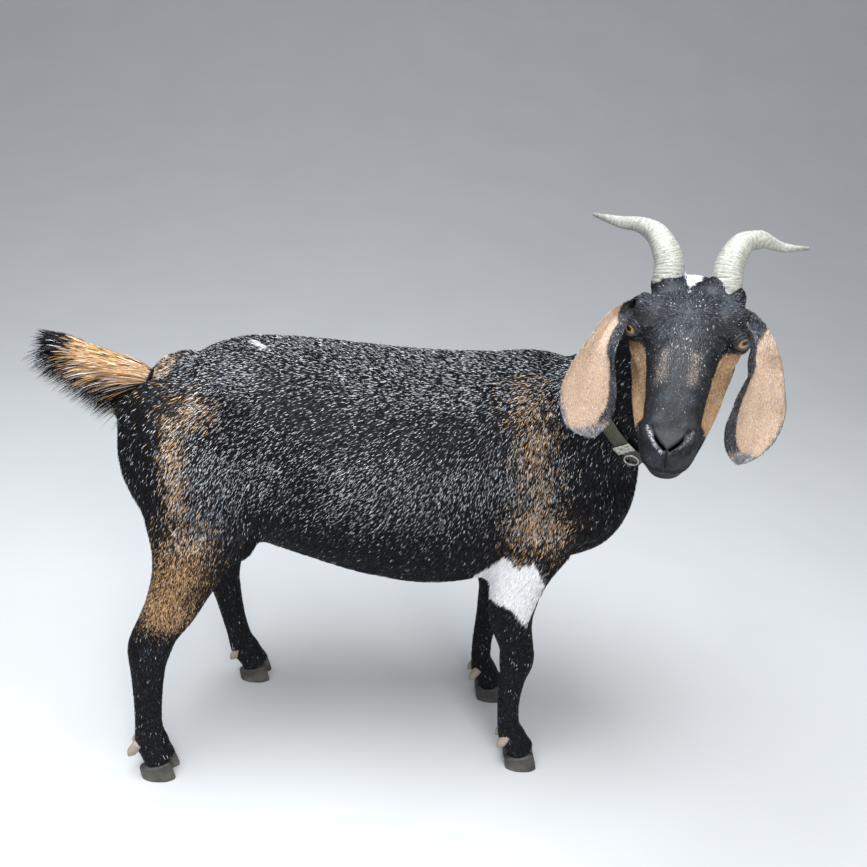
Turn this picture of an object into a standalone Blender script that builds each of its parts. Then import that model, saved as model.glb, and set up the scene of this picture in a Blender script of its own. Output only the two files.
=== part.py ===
"""A life-size Nubian doe, standing, with its head turned to its right.

Metres, +Z up. X runs from the tail to the chest and Y to the goat's left. The
origin is on the floor under the middle of the goat. The flesh is modelled whole,
from lofts and muscle masses fused together, and then parted by thin cuts into
torso, neck, head and legs. Horn, hoof, eye, ear, tail and collar are set on it.
"""
import math

import bmesh
import bpy
import numpy as np
from mathutils import Matrix, Vector
from mathutils.bvhtree import BVHTree

# The body is worked out from the middle of its stance, and moved by this at the end
ORIGIN_SHIFT = Vector((0.007, 0.117, 0.0))

# Gap that touching pieces keep
GAP = 0.0003
# Edges shorter than this are merged after a cut
SHORTEST_EDGE = 0.00003
# Fineness of the fused flesh, and how far it is smoothed
FLESH_VOXEL = 0.0048
FLESH_SMOOTHING = 9
# Faces that are kept on the body, and on the head
BODY_FACES = 3900
HEAD_FACES = 2460
# What counts as the head then: a middle in its own frame, and a reach round and behind it
HEAD_MIDDLE = (-0.02, 0.0, -0.06)
HEAD_REACH = (0.27, -0.04)

# How far a body's section leans from an ellipse to a box, from 1 down
TRUNK_POWER = 0.86
HEAD_POWER = 0.84

# Torso sections: along, back line, belly line, half width, height of the widest line
TORSO = (
    (-0.392, 0.640, 0.575, 0.034, 0.610),
    (-0.375, 0.662, 0.530, 0.062, 0.600),
    (-0.335, 0.682, 0.480, 0.088, 0.590),
    (-0.280, 0.719, 0.450, 0.105, 0.600),
    (-0.215, 0.748, 0.435, 0.122, 0.600),
    (-0.120, 0.752, 0.412, 0.145, 0.570),
    (-0.010, 0.745, 0.382, 0.163, 0.555),
    (0.090, 0.742, 0.366, 0.162, 0.550),
    (0.180, 0.748, 0.370, 0.140, 0.560),
    (0.255, 0.757, 0.385, 0.112, 0.565),
    (0.320, 0.738, 0.402, 0.092, 0.570),
    (0.380, 0.690, 0.425, 0.076, 0.560),
    (0.414, 0.632, 0.462, 0.052, 0.550),
    (0.430, 0.592, 0.505, 0.026, 0.548),
)
TORSO_SIDES = 40

# Neck line from inside the chest to the poll: place, half width, half depth
NECK = (
    ((0.285, 0.000, 0.610), 0.080, 0.125),
    ((0.340, -0.030, 0.670), 0.070, 0.106),
    ((0.374, -0.080, 0.732), 0.060, 0.087),
    ((0.390, -0.130, 0.795), 0.053, 0.071),
    ((0.391, -0.172, 0.855), 0.048, 0.060),
    ((0.384, -0.197, 0.895), 0.042, 0.050),
)
# Where the head is parted from the neck: the way ahead, and the place along it
HEAD_CUT_WAY = (0.743, 0.0, 0.669)
HEAD_CUT = -0.088
# How far below the collar the neck is parted from the trunk
NECK_CUT = 0.021
# Half sizes of the boxes that hold the whole head and the whole neck
HEAD_ROOM = (0.20, 0.16, 0.25)
NECK_ROOM = (0.24, 0.20, 0.20)

# Legs: the name of each, its joints from the trunk to the foot, and its foot
FORE_JOINTS = {
    "right": ((0.262, -0.072, 0.470), (0.243, -0.084, 0.400), (0.238, -0.089, 0.330),
              (0.254, -0.088, 0.272), (0.259, -0.087, 0.240), (0.257, -0.085, 0.200),
              (0.257, -0.082, 0.140), (0.263, -0.080, 0.092), (0.272, -0.079, 0.066),
              (0.284, -0.078, 0.045), (0.292, -0.077, 0.030)),
    "left": ((0.262, 0.072, 0.470), (0.240, 0.084, 0.400), (0.232, 0.088, 0.330),
             (0.238, 0.090, 0.272), (0.240, 0.092, 0.240), (0.234, 0.094, 0.200),
             (0.230, 0.096, 0.140), (0.232, 0.097, 0.092), (0.240, 0.098, 0.066),
             (0.251, 0.098, 0.045), (0.259, 0.098, 0.030)),
}
# Half depth and half width of a foreleg at each of its joints
FORE_SIZES = ((0.072, 0.040), (0.049, 0.034), (0.038, 0.030), (0.030, 0.026), (0.031, 0.026),
              (0.024, 0.020), (0.021, 0.017), (0.021, 0.018), (0.026, 0.022),
              (0.024, 0.023), (0.029, 0.027))
HIND_JOINTS = {
    "right": ((-0.262, -0.088, 0.500), (-0.268, -0.104, 0.440), (-0.284, -0.112, 0.390),
              (-0.304, -0.115, 0.340), (-0.327, -0.115, 0.298), (-0.341, -0.115, 0.262),
              (-0.346, -0.115, 0.220), (-0.350, -0.115, 0.150), (-0.352, -0.115, 0.096),
              (-0.349, -0.115, 0.068), (-0.342, -0.115, 0.046), (-0.337, -0.115, 0.030)),
    "left": ((-0.215, 0.088, 0.500), (-0.208, 0.104, 0.440), (-0.222, 0.112, 0.390),
             (-0.244, 0.118, 0.340), (-0.264, 0.121, 0.298), (-0.272, 0.124, 0.262),
             (-0.266, 0.127, 0.220), (-0.254, 0.131, 0.150), (-0.243, 0.134, 0.096),
             (-0.234, 0.136, 0.068), (-0.221, 0.137, 0.046), (-0.213, 0.137, 0.030)),
}
HIND_SIZES = ((0.086, 0.044), (0.066, 0.039), (0.050, 0.034), (0.042, 0.028), (0.036, 0.023),
              (0.036, 0.023), (0.029, 0.020), (0.024, 0.018), (0.024, 0.019),
              (0.029, 0.023), (0.025, 0.024), (0.030, 0.028))
LEG_SIDES = 20
FEET = {
    "fore_right": Vector((0.294, -0.077, 0.0)),
    "fore_left": Vector((0.259, 0.098, 0.0)),
    "hind_right": Vector((-0.337, -0.115, 0.0)),
    "hind_left": Vector((-0.212, 0.137, 0.0)),
}
# Hooves: height of the coronet at the toe and the heel, and each claw's length and width
CORONET_TOE = 0.034
CORONET_HEEL = 0.022
CLAW_LENGTH = 0.056
CLAW_WIDTH = 0.025
CLAW_CLEFT = 0.003
CLAW_SPLAY = math.radians(4)
DEWCLAW_HEIGHT = 0.062
DEWCLAW_SETBACK = 0.040
DEWCLAW_LENGTH = 0.024
DEWCLAW_SIZES = ((0.0085, 0.0075), (0.0085, 0.0075), (0.0030, 0.0030))
# A claw's levels: share of its height, and share of its length and width there
CLAW_LEVELS = ((0.0, 1.0, 1.0), (0.35, 0.985, 0.97), (1.0, 0.90, 0.92))
CLAW_STEPS = 14
# Where a foot's coronet leans back over its heel
CLAW_LEAN = 0.006
# The top of each leg's own piece in the trunk, and how far it reaches round it
LEG_TOPS = {
    "fore_right": (Vector((0.262, -0.130, 0.420)), (0.085, 0.085, 0.075)),
    "fore_left": (Vector((0.262, 0.130, 0.420)), (0.085, 0.085, 0.075)),
    "hind_right": (Vector((-0.262, -0.150, 0.430)), (0.120, 0.110, 0.110)),
    "hind_left": (Vector((-0.222, 0.150, 0.430)), (0.120, 0.110, 0.110)),
}

# Muscle and bone masses of one side: centre, radii, direction of the long axis
MASSES = (
    ((0.300, 0.070, 0.625), (0.120, 0.030, 0.060), (0.42, 0.18, -0.88)),
    ((0.345, 0.075, 0.520), (0.062, 0.034, 0.046), (-0.72, 0.10, -0.68)),
    ((0.368, 0.056, 0.545), (0.044, 0.036, 0.048), (0.30, 0.20, -0.93)),
    ((0.268, 0.078, 0.455), (0.060, 0.032, 0.046), (-0.30, 0.10, -0.95)),
    ((-0.290, 0.080, 0.585), (0.125, 0.046, 0.088), (0.18, 0.12, -0.97)),
    ((-0.325, 0.062, 0.610), (0.090, 0.040, 0.052), (-0.05, 0.10, -0.99)),
    ((-0.200, 0.094, 0.690), (0.045, 0.026, 0.026), (0.90, 0.30, -0.20)),
    ((-0.362, 0.045, 0.648), (0.030, 0.020, 0.020), (-0.90, 0.30, -0.20)),
)
# Thigh and stifle stand forward on the left, where that leg is under the body
THIGH = {"right": (-0.252, -0.092, 0.520), "left": (-0.232, 0.092, 0.520)}
THIGH_RADII = (0.110, 0.046, 0.078)
STIFLE = {"right": (-0.205, -0.104, 0.468), "left": (-0.168, 0.104, 0.468)}
STIFLE_RADII = (0.044, 0.032, 0.036)

# The head's own frame: the poll, and the ways to the nose, the left and the brow
POLL = Vector((0.367, -0.241, 0.937))
HEAD_YAW = math.radians(-111.6)
HEAD_TILT = math.radians(38.7)
HEAD_ROLL = math.radians(2.9)
# Skull sections: along, brow line, lower line, half width
SKULL = (
    (-0.048, -0.048, -0.086, 0.026),
    (-0.030, -0.034, -0.104, 0.042),
    (0.000, -0.014, -0.116, 0.051),
    (0.035, 0.003, -0.114, 0.057),
    (0.065, 0.007, -0.104, 0.054),
    (0.100, 0.007, -0.092, 0.044),
    (0.140, 0.003, -0.082, 0.036),
    (0.175, -0.007, -0.076, 0.032),
    (0.203, -0.018, -0.072, 0.032),
    (0.222, -0.030, -0.066, 0.026),
    (0.233, -0.042, -0.058, 0.013),
)
JAW = (
    (-0.020, -0.070, -0.122, 0.036),
    (0.010, -0.070, -0.136, 0.049),
    (0.050, -0.066, -0.140, 0.057),
    (0.090, -0.062, -0.130, 0.057),
    (0.130, -0.058, -0.116, 0.051),
    (0.170, -0.056, -0.104, 0.041),
    (0.207, -0.056, -0.094, 0.029),
    (0.230, -0.060, -0.086, 0.014),
)
# Masses of one side of the head, in its own frame
HEAD_MASSES = (
    ((0.056, 0.044, -0.088), (0.052, 0.020, 0.042), (1.0, -0.06, -0.10)),
    ((0.050, 0.047, -0.013), (0.034, 0.016, 0.013), (1.0, -0.3, -0.1)),
    ((0.070, 0.054, -0.052), (0.026, 0.012, 0.012), (1.0, -0.25, -0.1)),
    ((0.112, 0.036, -0.058), (0.045, 0.010, 0.014), (1.0, -0.22, -0.12)),
    ((0.206, 0.020, -0.026), (0.020, 0.014, 0.014), (1.0, -0.15, -0.45)),
    ((0.205, 0.015, -0.054), (0.030, 0.018, 0.015), (1.0, -0.25, -0.12)),
    ((0.208, 0.008, -0.078), (0.022, 0.013, 0.010), (1.0, -0.2, 0.1)),
    ((0.000, 0.030, -0.021), (0.026, 0.020, 0.019), (-0.5, 0.0, 1.0)),
)
# The mouth: its front, and its corner, whose place along is the middle of its bend
MOUTH_FRONT = Vector((0.236, 0.0, -0.0535))
MOUTH_CORNER = Vector((0.168, 0.034, -0.071))
MOUTH_WIDTH = 0.0024
MOUTH_DEPTH = 0.005
MOUTH_STEPS = 23
NOSTRIL = ((0.2055, 0.0215, -0.0125), (0.2120, 0.0185, -0.0150), (0.2175, 0.0130, -0.0205),
           (0.2215, 0.0060, -0.0275))
NOSTRIL_RADII = (0.0046, 0.0044, 0.0032, 0.0020)

# Eyes in the head's frame, with +Y to that eye's own side
EYES = {"right": (0.0628, 0.0560, -0.0279), "left": (0.0644, 0.0563, -0.0291)}
EYE_RADIUS = 0.0150
EYE_AIM = (0.40, 0.66, 0.62)
LID_THICKNESS = 0.0026
# The opening of the lids: half length and height, how far it lies under the middle of
# the eye, and how far its inner corner leans down
LID_OPENING = (0.0104, 0.0062)
LID_DROP = 0.0015
LID_TILT = math.radians(12)
LID_STEPS = 20

# Horn core lines in the head's frame, with +Y to that horn's own side
HORN_LINES = {
    "right": ((-0.008, 0.031, -0.024), (-0.024, 0.033, -0.008), (-0.038, 0.040, 0.002),
              (-0.057, 0.053, 0.006), (-0.074, 0.075, 0.002), (-0.093, 0.104, -0.015),
              (-0.116, 0.141, -0.029)),
    "left": ((-0.007, 0.036, -0.024), (-0.025, 0.036, -0.008), (-0.041, 0.041, 0.001),
             (-0.058, 0.051, 0.002), (-0.067, 0.070, 0.000), (-0.077, 0.096, -0.021),
             (-0.088, 0.126, -0.031)),
}
HORN_RADII = {
    "right": (0.0218, 0.0208, 0.0186, 0.0148, 0.0090, 0.0066, 0.0022),
    "left": (0.0218, 0.0208, 0.0186, 0.0146, 0.0092, 0.0052, 0.0020),
}
# Rings on a horn, how far they stand out, and its section across and deep
HORN_RINGS = 11
HORN_RIDGE = 0.035
HORN_SECTION = (0.86, 1.10)
HORN_SIDES = 10

# Ears hang from under the horns: centre line in world axes, half width, and cup
EARS = {
    "right": (((0.325, -0.200, 0.900), 0.010, 0.90), ((0.298, -0.225, 0.893), 0.011, 0.90),
              ((0.278, -0.246, 0.877), 0.013, 0.80), ((0.265, -0.255, 0.852), 0.018, 0.60),
              ((0.260, -0.255, 0.830), 0.025, 0.45), ((0.258, -0.255, 0.799), 0.033, 0.35),
              ((0.260, -0.255, 0.768), 0.032, 0.30), ((0.265, -0.257, 0.749), 0.024, 0.25),
              ((0.271, -0.258, 0.733), 0.005, 0.20)),
    "left": (((0.427, -0.226, 0.900), 0.010, 0.90), ((0.438, -0.248, 0.887), 0.012, 0.90),
             ((0.449, -0.264, 0.869), 0.015, 0.80), ((0.453, -0.268, 0.850), 0.021, 0.65),
             ((0.459, -0.270, 0.830), 0.026, 0.50), ((0.459, -0.273, 0.799), 0.038, 0.36),
             ((0.460, -0.273, 0.773), 0.042, 0.28), ((0.460, -0.275, 0.746), 0.035, 0.25),
             ((0.460, -0.277, 0.728), 0.022, 0.20), ((0.460, -0.277, 0.715), 0.006, 0.20)),
}
EAR_FACING = {"right": Vector((-0.25, -1.0, 0.25)), "left": Vector((0.20, -1.0, 0.25))}
EAR_THICKNESS = 0.0030
EAR_ALONG = 15
EAR_ACROSS = 8
SIDES = {"right": -1.0, "left": 1.0}

# Tail: core line from the dock to near its tip, and half sizes across and up
TAIL_LINE = ((-0.345, 0.000, 0.676), (-0.380, 0.000, 0.688), (-0.420, 0.004, 0.702),
             (-0.455, 0.009, 0.715), (-0.482, 0.013, 0.724))
TAIL_SIZES = ((0.022, 0.018), (0.020, 0.017), (0.016, 0.014), (0.012, 0.011), (0.005, 0.005))
# Locks of the tail's hair: rows along it, and for each lock round a row its place as
# an angle from the left side over the top, its droop and its length
TAIL_ROWS = 5
TAIL_ROUND = ((0.6, 0.05, 0.070), (2.5, 0.05, 0.070), (3.5, 0.40, 0.072), (5.9, 0.40, 0.072),
              (4.4, 0.60, 0.066), (5.0, 0.60, 0.066))
TAIL_LOCK_SIZE = (0.0140, 0.0052)
TAIL_LOCK_RISE = 0.30
# A lock's rings, how much of it is buried at the root, and how far it bends in
LOCK_RINGS = 3
LOCK_BURIED = 0.14
LOCK_BEND = 0.35

# Collar: middle of its loop, the way through it, band width and thickness, and its slack
COLLAR_PLACE = Vector((0.364, -0.065, 0.713))
COLLAR_WAY = Vector((0.567, -0.598, 0.567))
COLLAR_WIDTH = 0.024
COLLAR_THICKNESS = 0.0024
COLLAR_SLACK = 0.0012
COLLAR_RAYS = 180
COLLAR_STEPS = 40
# The keeper plate on the band, the place it faces, and the ring that hangs from it
KEEPER_FACES = Vector((0.363, -0.117, 0.660))
KEEPER_SIZE = (0.016, 0.030, 0.0026)
RING_RADIUS = 0.0105
RING_WIRE = 0.0015
RING_LIFT = 0.0045

# Colours, roughness and metallic of each material
MATERIALS = {
    "coat_black": ((0.018, 0.019, 0.024), 0.45, 0.0),
    "coat_tan": ((0.42, 0.24, 0.12), 0.60, 0.0),
    "horn": ((0.42, 0.40, 0.32), 0.55, 0.0),
    "hoof": ((0.12, 0.11, 0.10), 0.60, 0.0),
    "dewclaw": ((0.45, 0.40, 0.32), 0.60, 0.0),
    "eye": ((0.50, 0.25, 0.07), 0.10, 0.0),
    "webbing": ((0.10, 0.12, 0.07), 0.80, 0.0),
    "keeper": ((0.35, 0.38, 0.33), 0.45, 0.0),
    "ring_metal": ((0.60, 0.60, 0.60), 0.35, 1.0),
}


def collection(name, hidden=False):
    """A collection in the scene, hidden from renders where it holds cutters."""
    made = bpy.data.collections.new(name)
    bpy.context.scene.collection.children.link(made)
    made.hide_render = hidden
    return made


def clear_scene():
    """Remove what the scene starts with."""
    for old in list(bpy.data.objects):
        bpy.data.objects.remove(old, do_unlink=True)


def material(name):
    """A Principled material from the table, made once."""
    found = bpy.data.materials.get(name)
    if found:
        return found
    colour, roughness, metallic = MATERIALS[name]
    made = bpy.data.materials.new(name)
    made.use_nodes = True
    shader = made.node_tree.nodes["Principled BSDF"]
    shader.inputs["Base Color"].default_value = (*colour, 1.0)
    shader.inputs["Roughness"].default_value = roughness
    shader.inputs["Metallic"].default_value = metallic
    made.diffuse_color = (*colour, 1.0)
    return made


def mesh_object(name, bm, home):
    """A new object in a collection from a bmesh, with its faces pointing out."""
    bmesh.ops.recalc_face_normals(bm, faces=bm.faces)
    mesh = bpy.data.meshes.new(name)
    bm.to_mesh(mesh)
    bm.free()
    made = bpy.data.objects.new(name, mesh)
    home.objects.link(made)
    return made


def through(values, count):
    """Read a smooth curve through rows of numbers at evenly spaced places."""
    rows = np.array(values, dtype=float)
    last = len(rows) - 1
    padded = np.vstack([2 * rows[0] - rows[1], rows, 2 * rows[-1] - rows[-2]])
    made = []
    for place in np.linspace(0.0, last, count):
        start = min(int(place), last - 1)
        t = place - start
        a, b, c, d = padded[start:start + 4]
        made.append(0.5 * (2 * b + (c - a) * t + (2 * a - 5 * b + 4 * c - d) * t ** 2
                           + (3 * b - a - 3 * c + d) * t ** 3))
    return np.array(made)


def ring_of(centre, side, up, half_side, half_up, half_down, sides, power=0.90):
    """Points round a section that may reach further down than up."""
    points = []
    for step in range(sides):
        angle = 2 * math.pi * step / sides
        c, s = math.cos(angle), math.sin(angle)
        out = math.copysign(abs(c) ** power, c) * half_side
        lift = math.copysign(abs(s) ** power, s) * (half_up if s > 0 else half_down)
        points.append(centre + side * out + up * lift)
    return points


def loft(name, rings, home):
    """A closed body through rings of equally many points."""
    bm = bmesh.new()
    rows = [[bm.verts.new(point) for point in ring] for ring in rings]
    count = len(rows[0])
    for lower, upper in zip(rows, rows[1:]):
        for i in range(count):
            j = (i + 1) % count
            bm.faces.new((lower[i], lower[j], upper[j], upper[i]))
    bm.faces.new(rows[0])
    bm.faces.new(rows[-1])
    return mesh_object(name, bm, home)


def tube(name, line, sizes, side, sides, home, steps=3):
    """A body along a line, with its half width and half depth at each point."""
    count = (len(line) - 1) * steps + 1
    places = [Vector(row) for row in through(line, count)]
    halves = through(sizes, count)
    rings = []
    for i, place in enumerate(places):
        along = (places[min(i + 1, count - 1)] - places[max(i - 1, 0)]).normalized()
        depth = along.cross(side).normalized()
        across = depth.cross(along).normalized()
        half_depth, half_width = halves[i]
        rings.append(ring_of(place, across, depth, half_width, half_depth, half_depth, sides))
    return loft(name, rings, home)


def mass(name, centre, radii, along, home, side=Vector((0, 1, 0))):
    """An ellipsoid along a direction, with its second radius towards a side."""
    forward = Vector(along).normalized()
    across = (side - forward * side.dot(forward)).normalized()
    turn = Matrix((forward, across, forward.cross(across))).transposed().to_4x4()
    bm = bmesh.new()
    bmesh.ops.create_icosphere(bm, subdivisions=3, radius=1.0)
    matrix = Matrix.Translation(Vector(centre)) @ turn @ Matrix.Diagonal((*radii, 1.0))
    bmesh.ops.transform(bm, matrix=matrix, verts=bm.verts)
    return mesh_object(name, bm, home)


def bake(thing):
    """Replace an object's mesh by what its modifiers make of it."""
    graph = bpy.context.evaluated_depsgraph_get()
    mesh = bpy.data.meshes.new_from_object(thing.evaluated_get(graph))
    thing.modifiers.clear()
    old, thing.data = thing.data, mesh
    bpy.data.meshes.remove(old)
    return thing


def drop(*things):
    """Remove objects and their meshes."""
    for thing in things:
        mesh = thing.data
        bpy.data.objects.remove(thing, do_unlink=True)
        if mesh.users == 0:
            bpy.data.meshes.remove(mesh)


def fuse_flesh(things, home):
    """Fuse overlapping bodies into one smooth closed mesh."""
    bm = bmesh.new()
    for thing in things:
        bm.from_mesh(thing.data)
    drop(*things)
    flesh = mesh_object("flesh", bm, home)
    remesh = flesh.modifiers.new("fuse", "REMESH")
    remesh.mode = "VOXEL"
    remesh.voxel_size = FLESH_VOXEL
    smooth = flesh.modifiers.new("soften", "SMOOTH")
    smooth.factor = 0.5
    smooth.iterations = FLESH_SMOOTHING
    return bake(flesh)


def boolean(thing, cutter, operation, solver="EXACT"):
    """Cut or join one body with another, and apply it."""
    cut = thing.modifiers.new("cut", "BOOLEAN")
    cut.object = cutter
    cut.operation = operation
    cut.solver = solver
    return bake(thing)


def largest(thing):
    """Keep only an object's largest closed surface, with the tiniest edges merged."""
    bm = bmesh.new()
    bm.from_mesh(thing.data)
    bmesh.ops.triangulate(bm, faces=bm.faces)
    bmesh.ops.dissolve_degenerate(bm, dist=SHORTEST_EDGE, edges=bm.edges)
    bm.verts.ensure_lookup_table()
    unseen = set(bm.verts)
    best, best_area = set(), -1.0
    while unseen:
        shell, front = set(), [unseen.pop()]
        while front:
            vert = front.pop()
            shell.add(vert)
            for edge in vert.link_edges:
                other = edge.other_vert(vert)
                if other in unseen:
                    unseen.remove(other)
                    front.append(other)
        area = sum(face.calc_area() for face in {f for v in shell for f in v.link_faces})
        if area > best_area:
            best, best_area = shell, area
    bmesh.ops.delete(bm, geom=[v for v in bm.verts if v not in best], context="VERTS")
    bm.to_mesh(thing.data)
    bm.free()
    return thing


def copy_of(thing, home, grow=0.0):
    """A copy of a body, grown along its normals."""
    mesh = thing.data.copy()
    made = bpy.data.objects.new(thing.name + "_copy", mesh)
    home.objects.link(made)
    if grow:
        normals = np.array([v.normal[:] for v in mesh.vertices])
        places = np.array([v.co[:] for v in mesh.vertices])
        mesh.vertices.foreach_set("co", (places + normals * grow).ravel())
        mesh.update()
    made.hide_render = True
    made.display_type = "WIRE"
    return made


def clear_of(piece, neighbour, cutters, solver="EXACT"):
    """Trim a piece where it meets a neighbour, and leave the gap between them."""
    cutter = copy_of(neighbour, cutters, GAP)
    boolean(piece, cutter, "DIFFERENCE", solver)
    drop(cutter)
    return largest(piece)


def split(thing, name, cutter, cutters, home):
    """Part the piece inside a cutter from the rest, with the gap between them."""
    part = copy_of(thing, home)
    part.name = name
    part.hide_render = False
    part.display_type = "TEXTURED"
    boolean(part, cutter, "INTERSECT")
    largest(part)
    grown = copy_of(cutter, cutters, GAP)
    boolean(thing, grown, "DIFFERENCE")
    largest(thing)
    drop(grown, cutter)
    return part


def head_axes():
    """The ways to the nose, the goat's left and the brow, in world axes."""
    ahead = Vector((math.cos(HEAD_YAW), math.sin(HEAD_YAW), 0.0))
    up = Vector((0.0, 0.0, 1.0))
    nose = ahead * math.cos(HEAD_TILT) - up * math.sin(HEAD_TILT)
    brow = ahead * math.sin(HEAD_TILT) + up * math.cos(HEAD_TILT)
    left = brow.cross(nose)
    turn = Matrix.Rotation(HEAD_ROLL, 3, ahead)
    return turn @ nose, turn @ left, turn @ brow


def in_head(local, mirror=1.0):
    """A point of the head's own frame, in world axes."""
    nose, left, brow = head_axes()
    return POLL + nose * local[0] + left * local[1] * mirror + brow * local[2]


def turned(local, mirror=1.0):
    """A direction of the head's own frame, in world axes."""
    return in_head(local, mirror) - POLL


def torso_bodies(home):
    """The trunk, and the muscles and bones that show on both of its sides."""
    rings = []
    for along, top, belly, half, widest in through(TORSO, 40):
        centre = Vector((along, 0.0, widest))
        rings.append(ring_of(centre, Vector((0, 1, 0)), Vector((0, 0, 1)), half,
                             top - widest, widest - belly, TORSO_SIDES, TRUNK_POWER))
    bodies = [loft("trunk", rings, home)]
    for index, (centre, radii, along) in enumerate(MASSES):
        for side in (-1.0, 1.0):
            place = (centre[0], centre[1] * side, centre[2])
            way = (along[0], along[1] * side, along[2])
            bodies.append(mass(f"mass_{index}", place, radii, way, home))
    for side in SIDES:
        bodies.append(mass("thigh", THIGH[side], THIGH_RADII, (0.35, 0, -0.94), home))
        bodies.append(mass("stifle", STIFLE[side], STIFLE_RADII, (0.2, 0, -1), home))
    return bodies


def leg_bodies(home):
    """The four legs from the trunk down."""
    bodies = []
    for joints, sizes in ((FORE_JOINTS, FORE_SIZES), (HIND_JOINTS, HIND_SIZES)):
        for side in SIDES:
            bodies.append(tube("leg", joints[side], sizes, Vector((0, 1, 0)), LEG_SIDES, home))
    return bodies


def neck_body(home):
    """The neck, whose sections turn with the head towards the poll."""
    left = head_axes()[1]
    count = (len(NECK) - 1) * 4 + 1
    places = [Vector(row) for row in through([row[0] for row in NECK], count)]
    halves = through([row[1:] for row in NECK], count)
    rings = []
    for i, place in enumerate(places):
        along = (places[min(i + 1, count - 1)] - places[max(i - 1, 0)]).normalized()
        share = i / (count - 1)
        across = Vector((0, 1, 0)) * (1 - share) + left * share
        depth = across.cross(along).normalized()
        across = along.cross(depth).normalized()
        rings.append(ring_of(place, across, depth, halves[i][0], halves[i][1], halves[i][1], 28))
    return [loft("neck", rings, home)]


def head_bodies(home):
    """The skull and the jaw, and the masses on both sides of them."""
    left, brow = head_axes()[1:]
    bodies = []
    for name, table in (("skull", SKULL), ("jaw", JAW)):
        rings = []
        for along, top, low, half in through(table, 34):
            middle = (top + low) / 2
            centre = in_head((along, 0.0, middle))
            rings.append(ring_of(centre, left, brow, half, top - middle, middle - low, 32,
                                 HEAD_POWER))
        bodies.append(loft(name, rings, home))
    for side, mirror in SIDES.items():
        for index, (centre, radii, along) in enumerate(HEAD_MASSES):
            bodies.append(mass(f"head_mass_{index}", in_head(centre, mirror), radii,
                               turned(along, mirror), home, left))
        bodies.append(mass("orbit", in_head(EYES[side], mirror), (EYE_RADIUS + 0.001,) * 3,
                           (1, 0, 0), home))
    return bodies


def thin_flesh(flesh):
    """Cut the number of faces on the body, and then on the head, which keeps more."""
    nose = head_axes()[0]
    middle = in_head(HEAD_MIDDLE)
    reach, behind = HEAD_REACH
    body, head = [], []
    for vert in flesh.data.vertices:
        local = vert.co - middle
        near = local.length < reach and local.dot(nose) > behind
        (head if near else body).append(vert.index)
    group = flesh.vertex_groups.new(name="body")
    group.add(body, 1.0, "REPLACE")
    group.add(head, 0.0, "REPLACE")
    faces = 2 * len(flesh.data.vertices)
    kept = BODY_FACES + 2 * len(head)
    decimate(flesh, "body", kept / faces, False)
    decimate(flesh, "body", (BODY_FACES + HEAD_FACES) / kept, True)


def decimate(flesh, group, share, invert):
    """Collapse the faces of one group until this share of them all is left."""
    thin = flesh.modifiers.new("thin", "DECIMATE")
    thin.ratio = share
    thin.use_collapse_triangulate = True
    thin.vertex_group = group
    thin.invert_vertex_group = invert
    return bake(flesh)


def as_cutter(thing):
    """Show a body as a cutter."""
    thing.hide_render = True
    thing.display_type = "WIRE"
    return thing


def box(name, centre, axes, halves, home, bevel=0.002):
    """A box turned to three axes, with its edges taken off."""
    bm = bmesh.new()
    bmesh.ops.create_cube(bm, size=2.0)
    turn = Matrix(axes).transposed().to_4x4()
    matrix = Matrix.Translation(centre) @ turn @ Matrix.Diagonal((*halves, 1.0))
    bmesh.ops.transform(bm, matrix=matrix, verts=bm.verts)
    bmesh.ops.bevel(bm, geom=bm.edges[:], offset=bevel, segments=1, affect="EDGES")
    return mesh_object(name, bm, home)


def leg_cutter(name, top, foot, radii, home):
    """A long round-topped body that holds one whole leg."""
    cutter = mass(name, (0, 0, 0), (1, 1, 1), (1, 0, 0), home)
    for vert in cutter.data.vertices:
        x, y, z = vert.co
        if z > 0:
            place = Vector((x * radii[0], y * radii[1], z * radii[2])) + top
        else:
            low = Vector((foot.x, foot.y, -0.05))
            share = -z
            flat = Vector((x, y, 0.0))
            flat = flat / max(flat.length, 1e-6) if share < 0.99 else flat * 0
            place = top.lerp(low, share)
            spread = 1.0 - 0.25 * share
            place += Vector((flat.x * radii[0] * spread, flat.y * radii[1] * spread, 0))
        vert.co = place
    return as_cutter(cutter)


def surface(thing):
    """A tree of an object's faces, for rays."""
    return BVHTree.FromPolygons([v.co[:] for v in thing.data.vertices],
                                [p.vertices[:] for p in thing.data.polygons])


def mouth_cutter(head, home):
    """A wedge that follows the line of the mouth round the muzzle."""
    skin = surface(head)
    nose, left, brow = head_axes()
    rings = []
    for t in np.linspace(-1.0, 1.0, MOUTH_STEPS):
        bend = abs(t)
        way = nose * math.cos(t * math.pi / 2) + left * math.sin(t * math.pi / 2)
        level = MOUTH_FRONT[2] + (MOUTH_CORNER[2] - MOUTH_FRONT[2]) * bend ** 2
        middle = in_head((MOUTH_CORNER[0], 0.0, level))
        lip = skin.ray_cast(middle + way * 0.2, -way)[0]
        width = MOUTH_WIDTH * (1.0 - 0.75 * bend ** 6)
        deep = MOUTH_DEPTH * (1.0 - 0.6 * bend ** 6)
        rings.append([lip + way * 0.004 + brow * width, lip - way * deep,
                      lip + way * 0.004 - brow * width])
    return loft("mouth_cutter", rings, home)


def chain_cutter(name, points, radii, side, home):
    """A tapered groove cutter through points."""
    count = 6
    places = [Vector(row) for row in through(points, count)]
    sizes = through([(r,) for r in radii], count)
    rings = []
    for i, place in enumerate(places):
        along = (places[min(i + 1, count - 1)] - places[max(i - 1, 0)]).normalized()
        across = (side - along * side.dot(along)).normalized()
        other = along.cross(across)
        rings.append(ring_of(place, across, other, sizes[i][0], sizes[i][0], sizes[i][0], 8, 1.0))
    return loft(name, rings, home)


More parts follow.
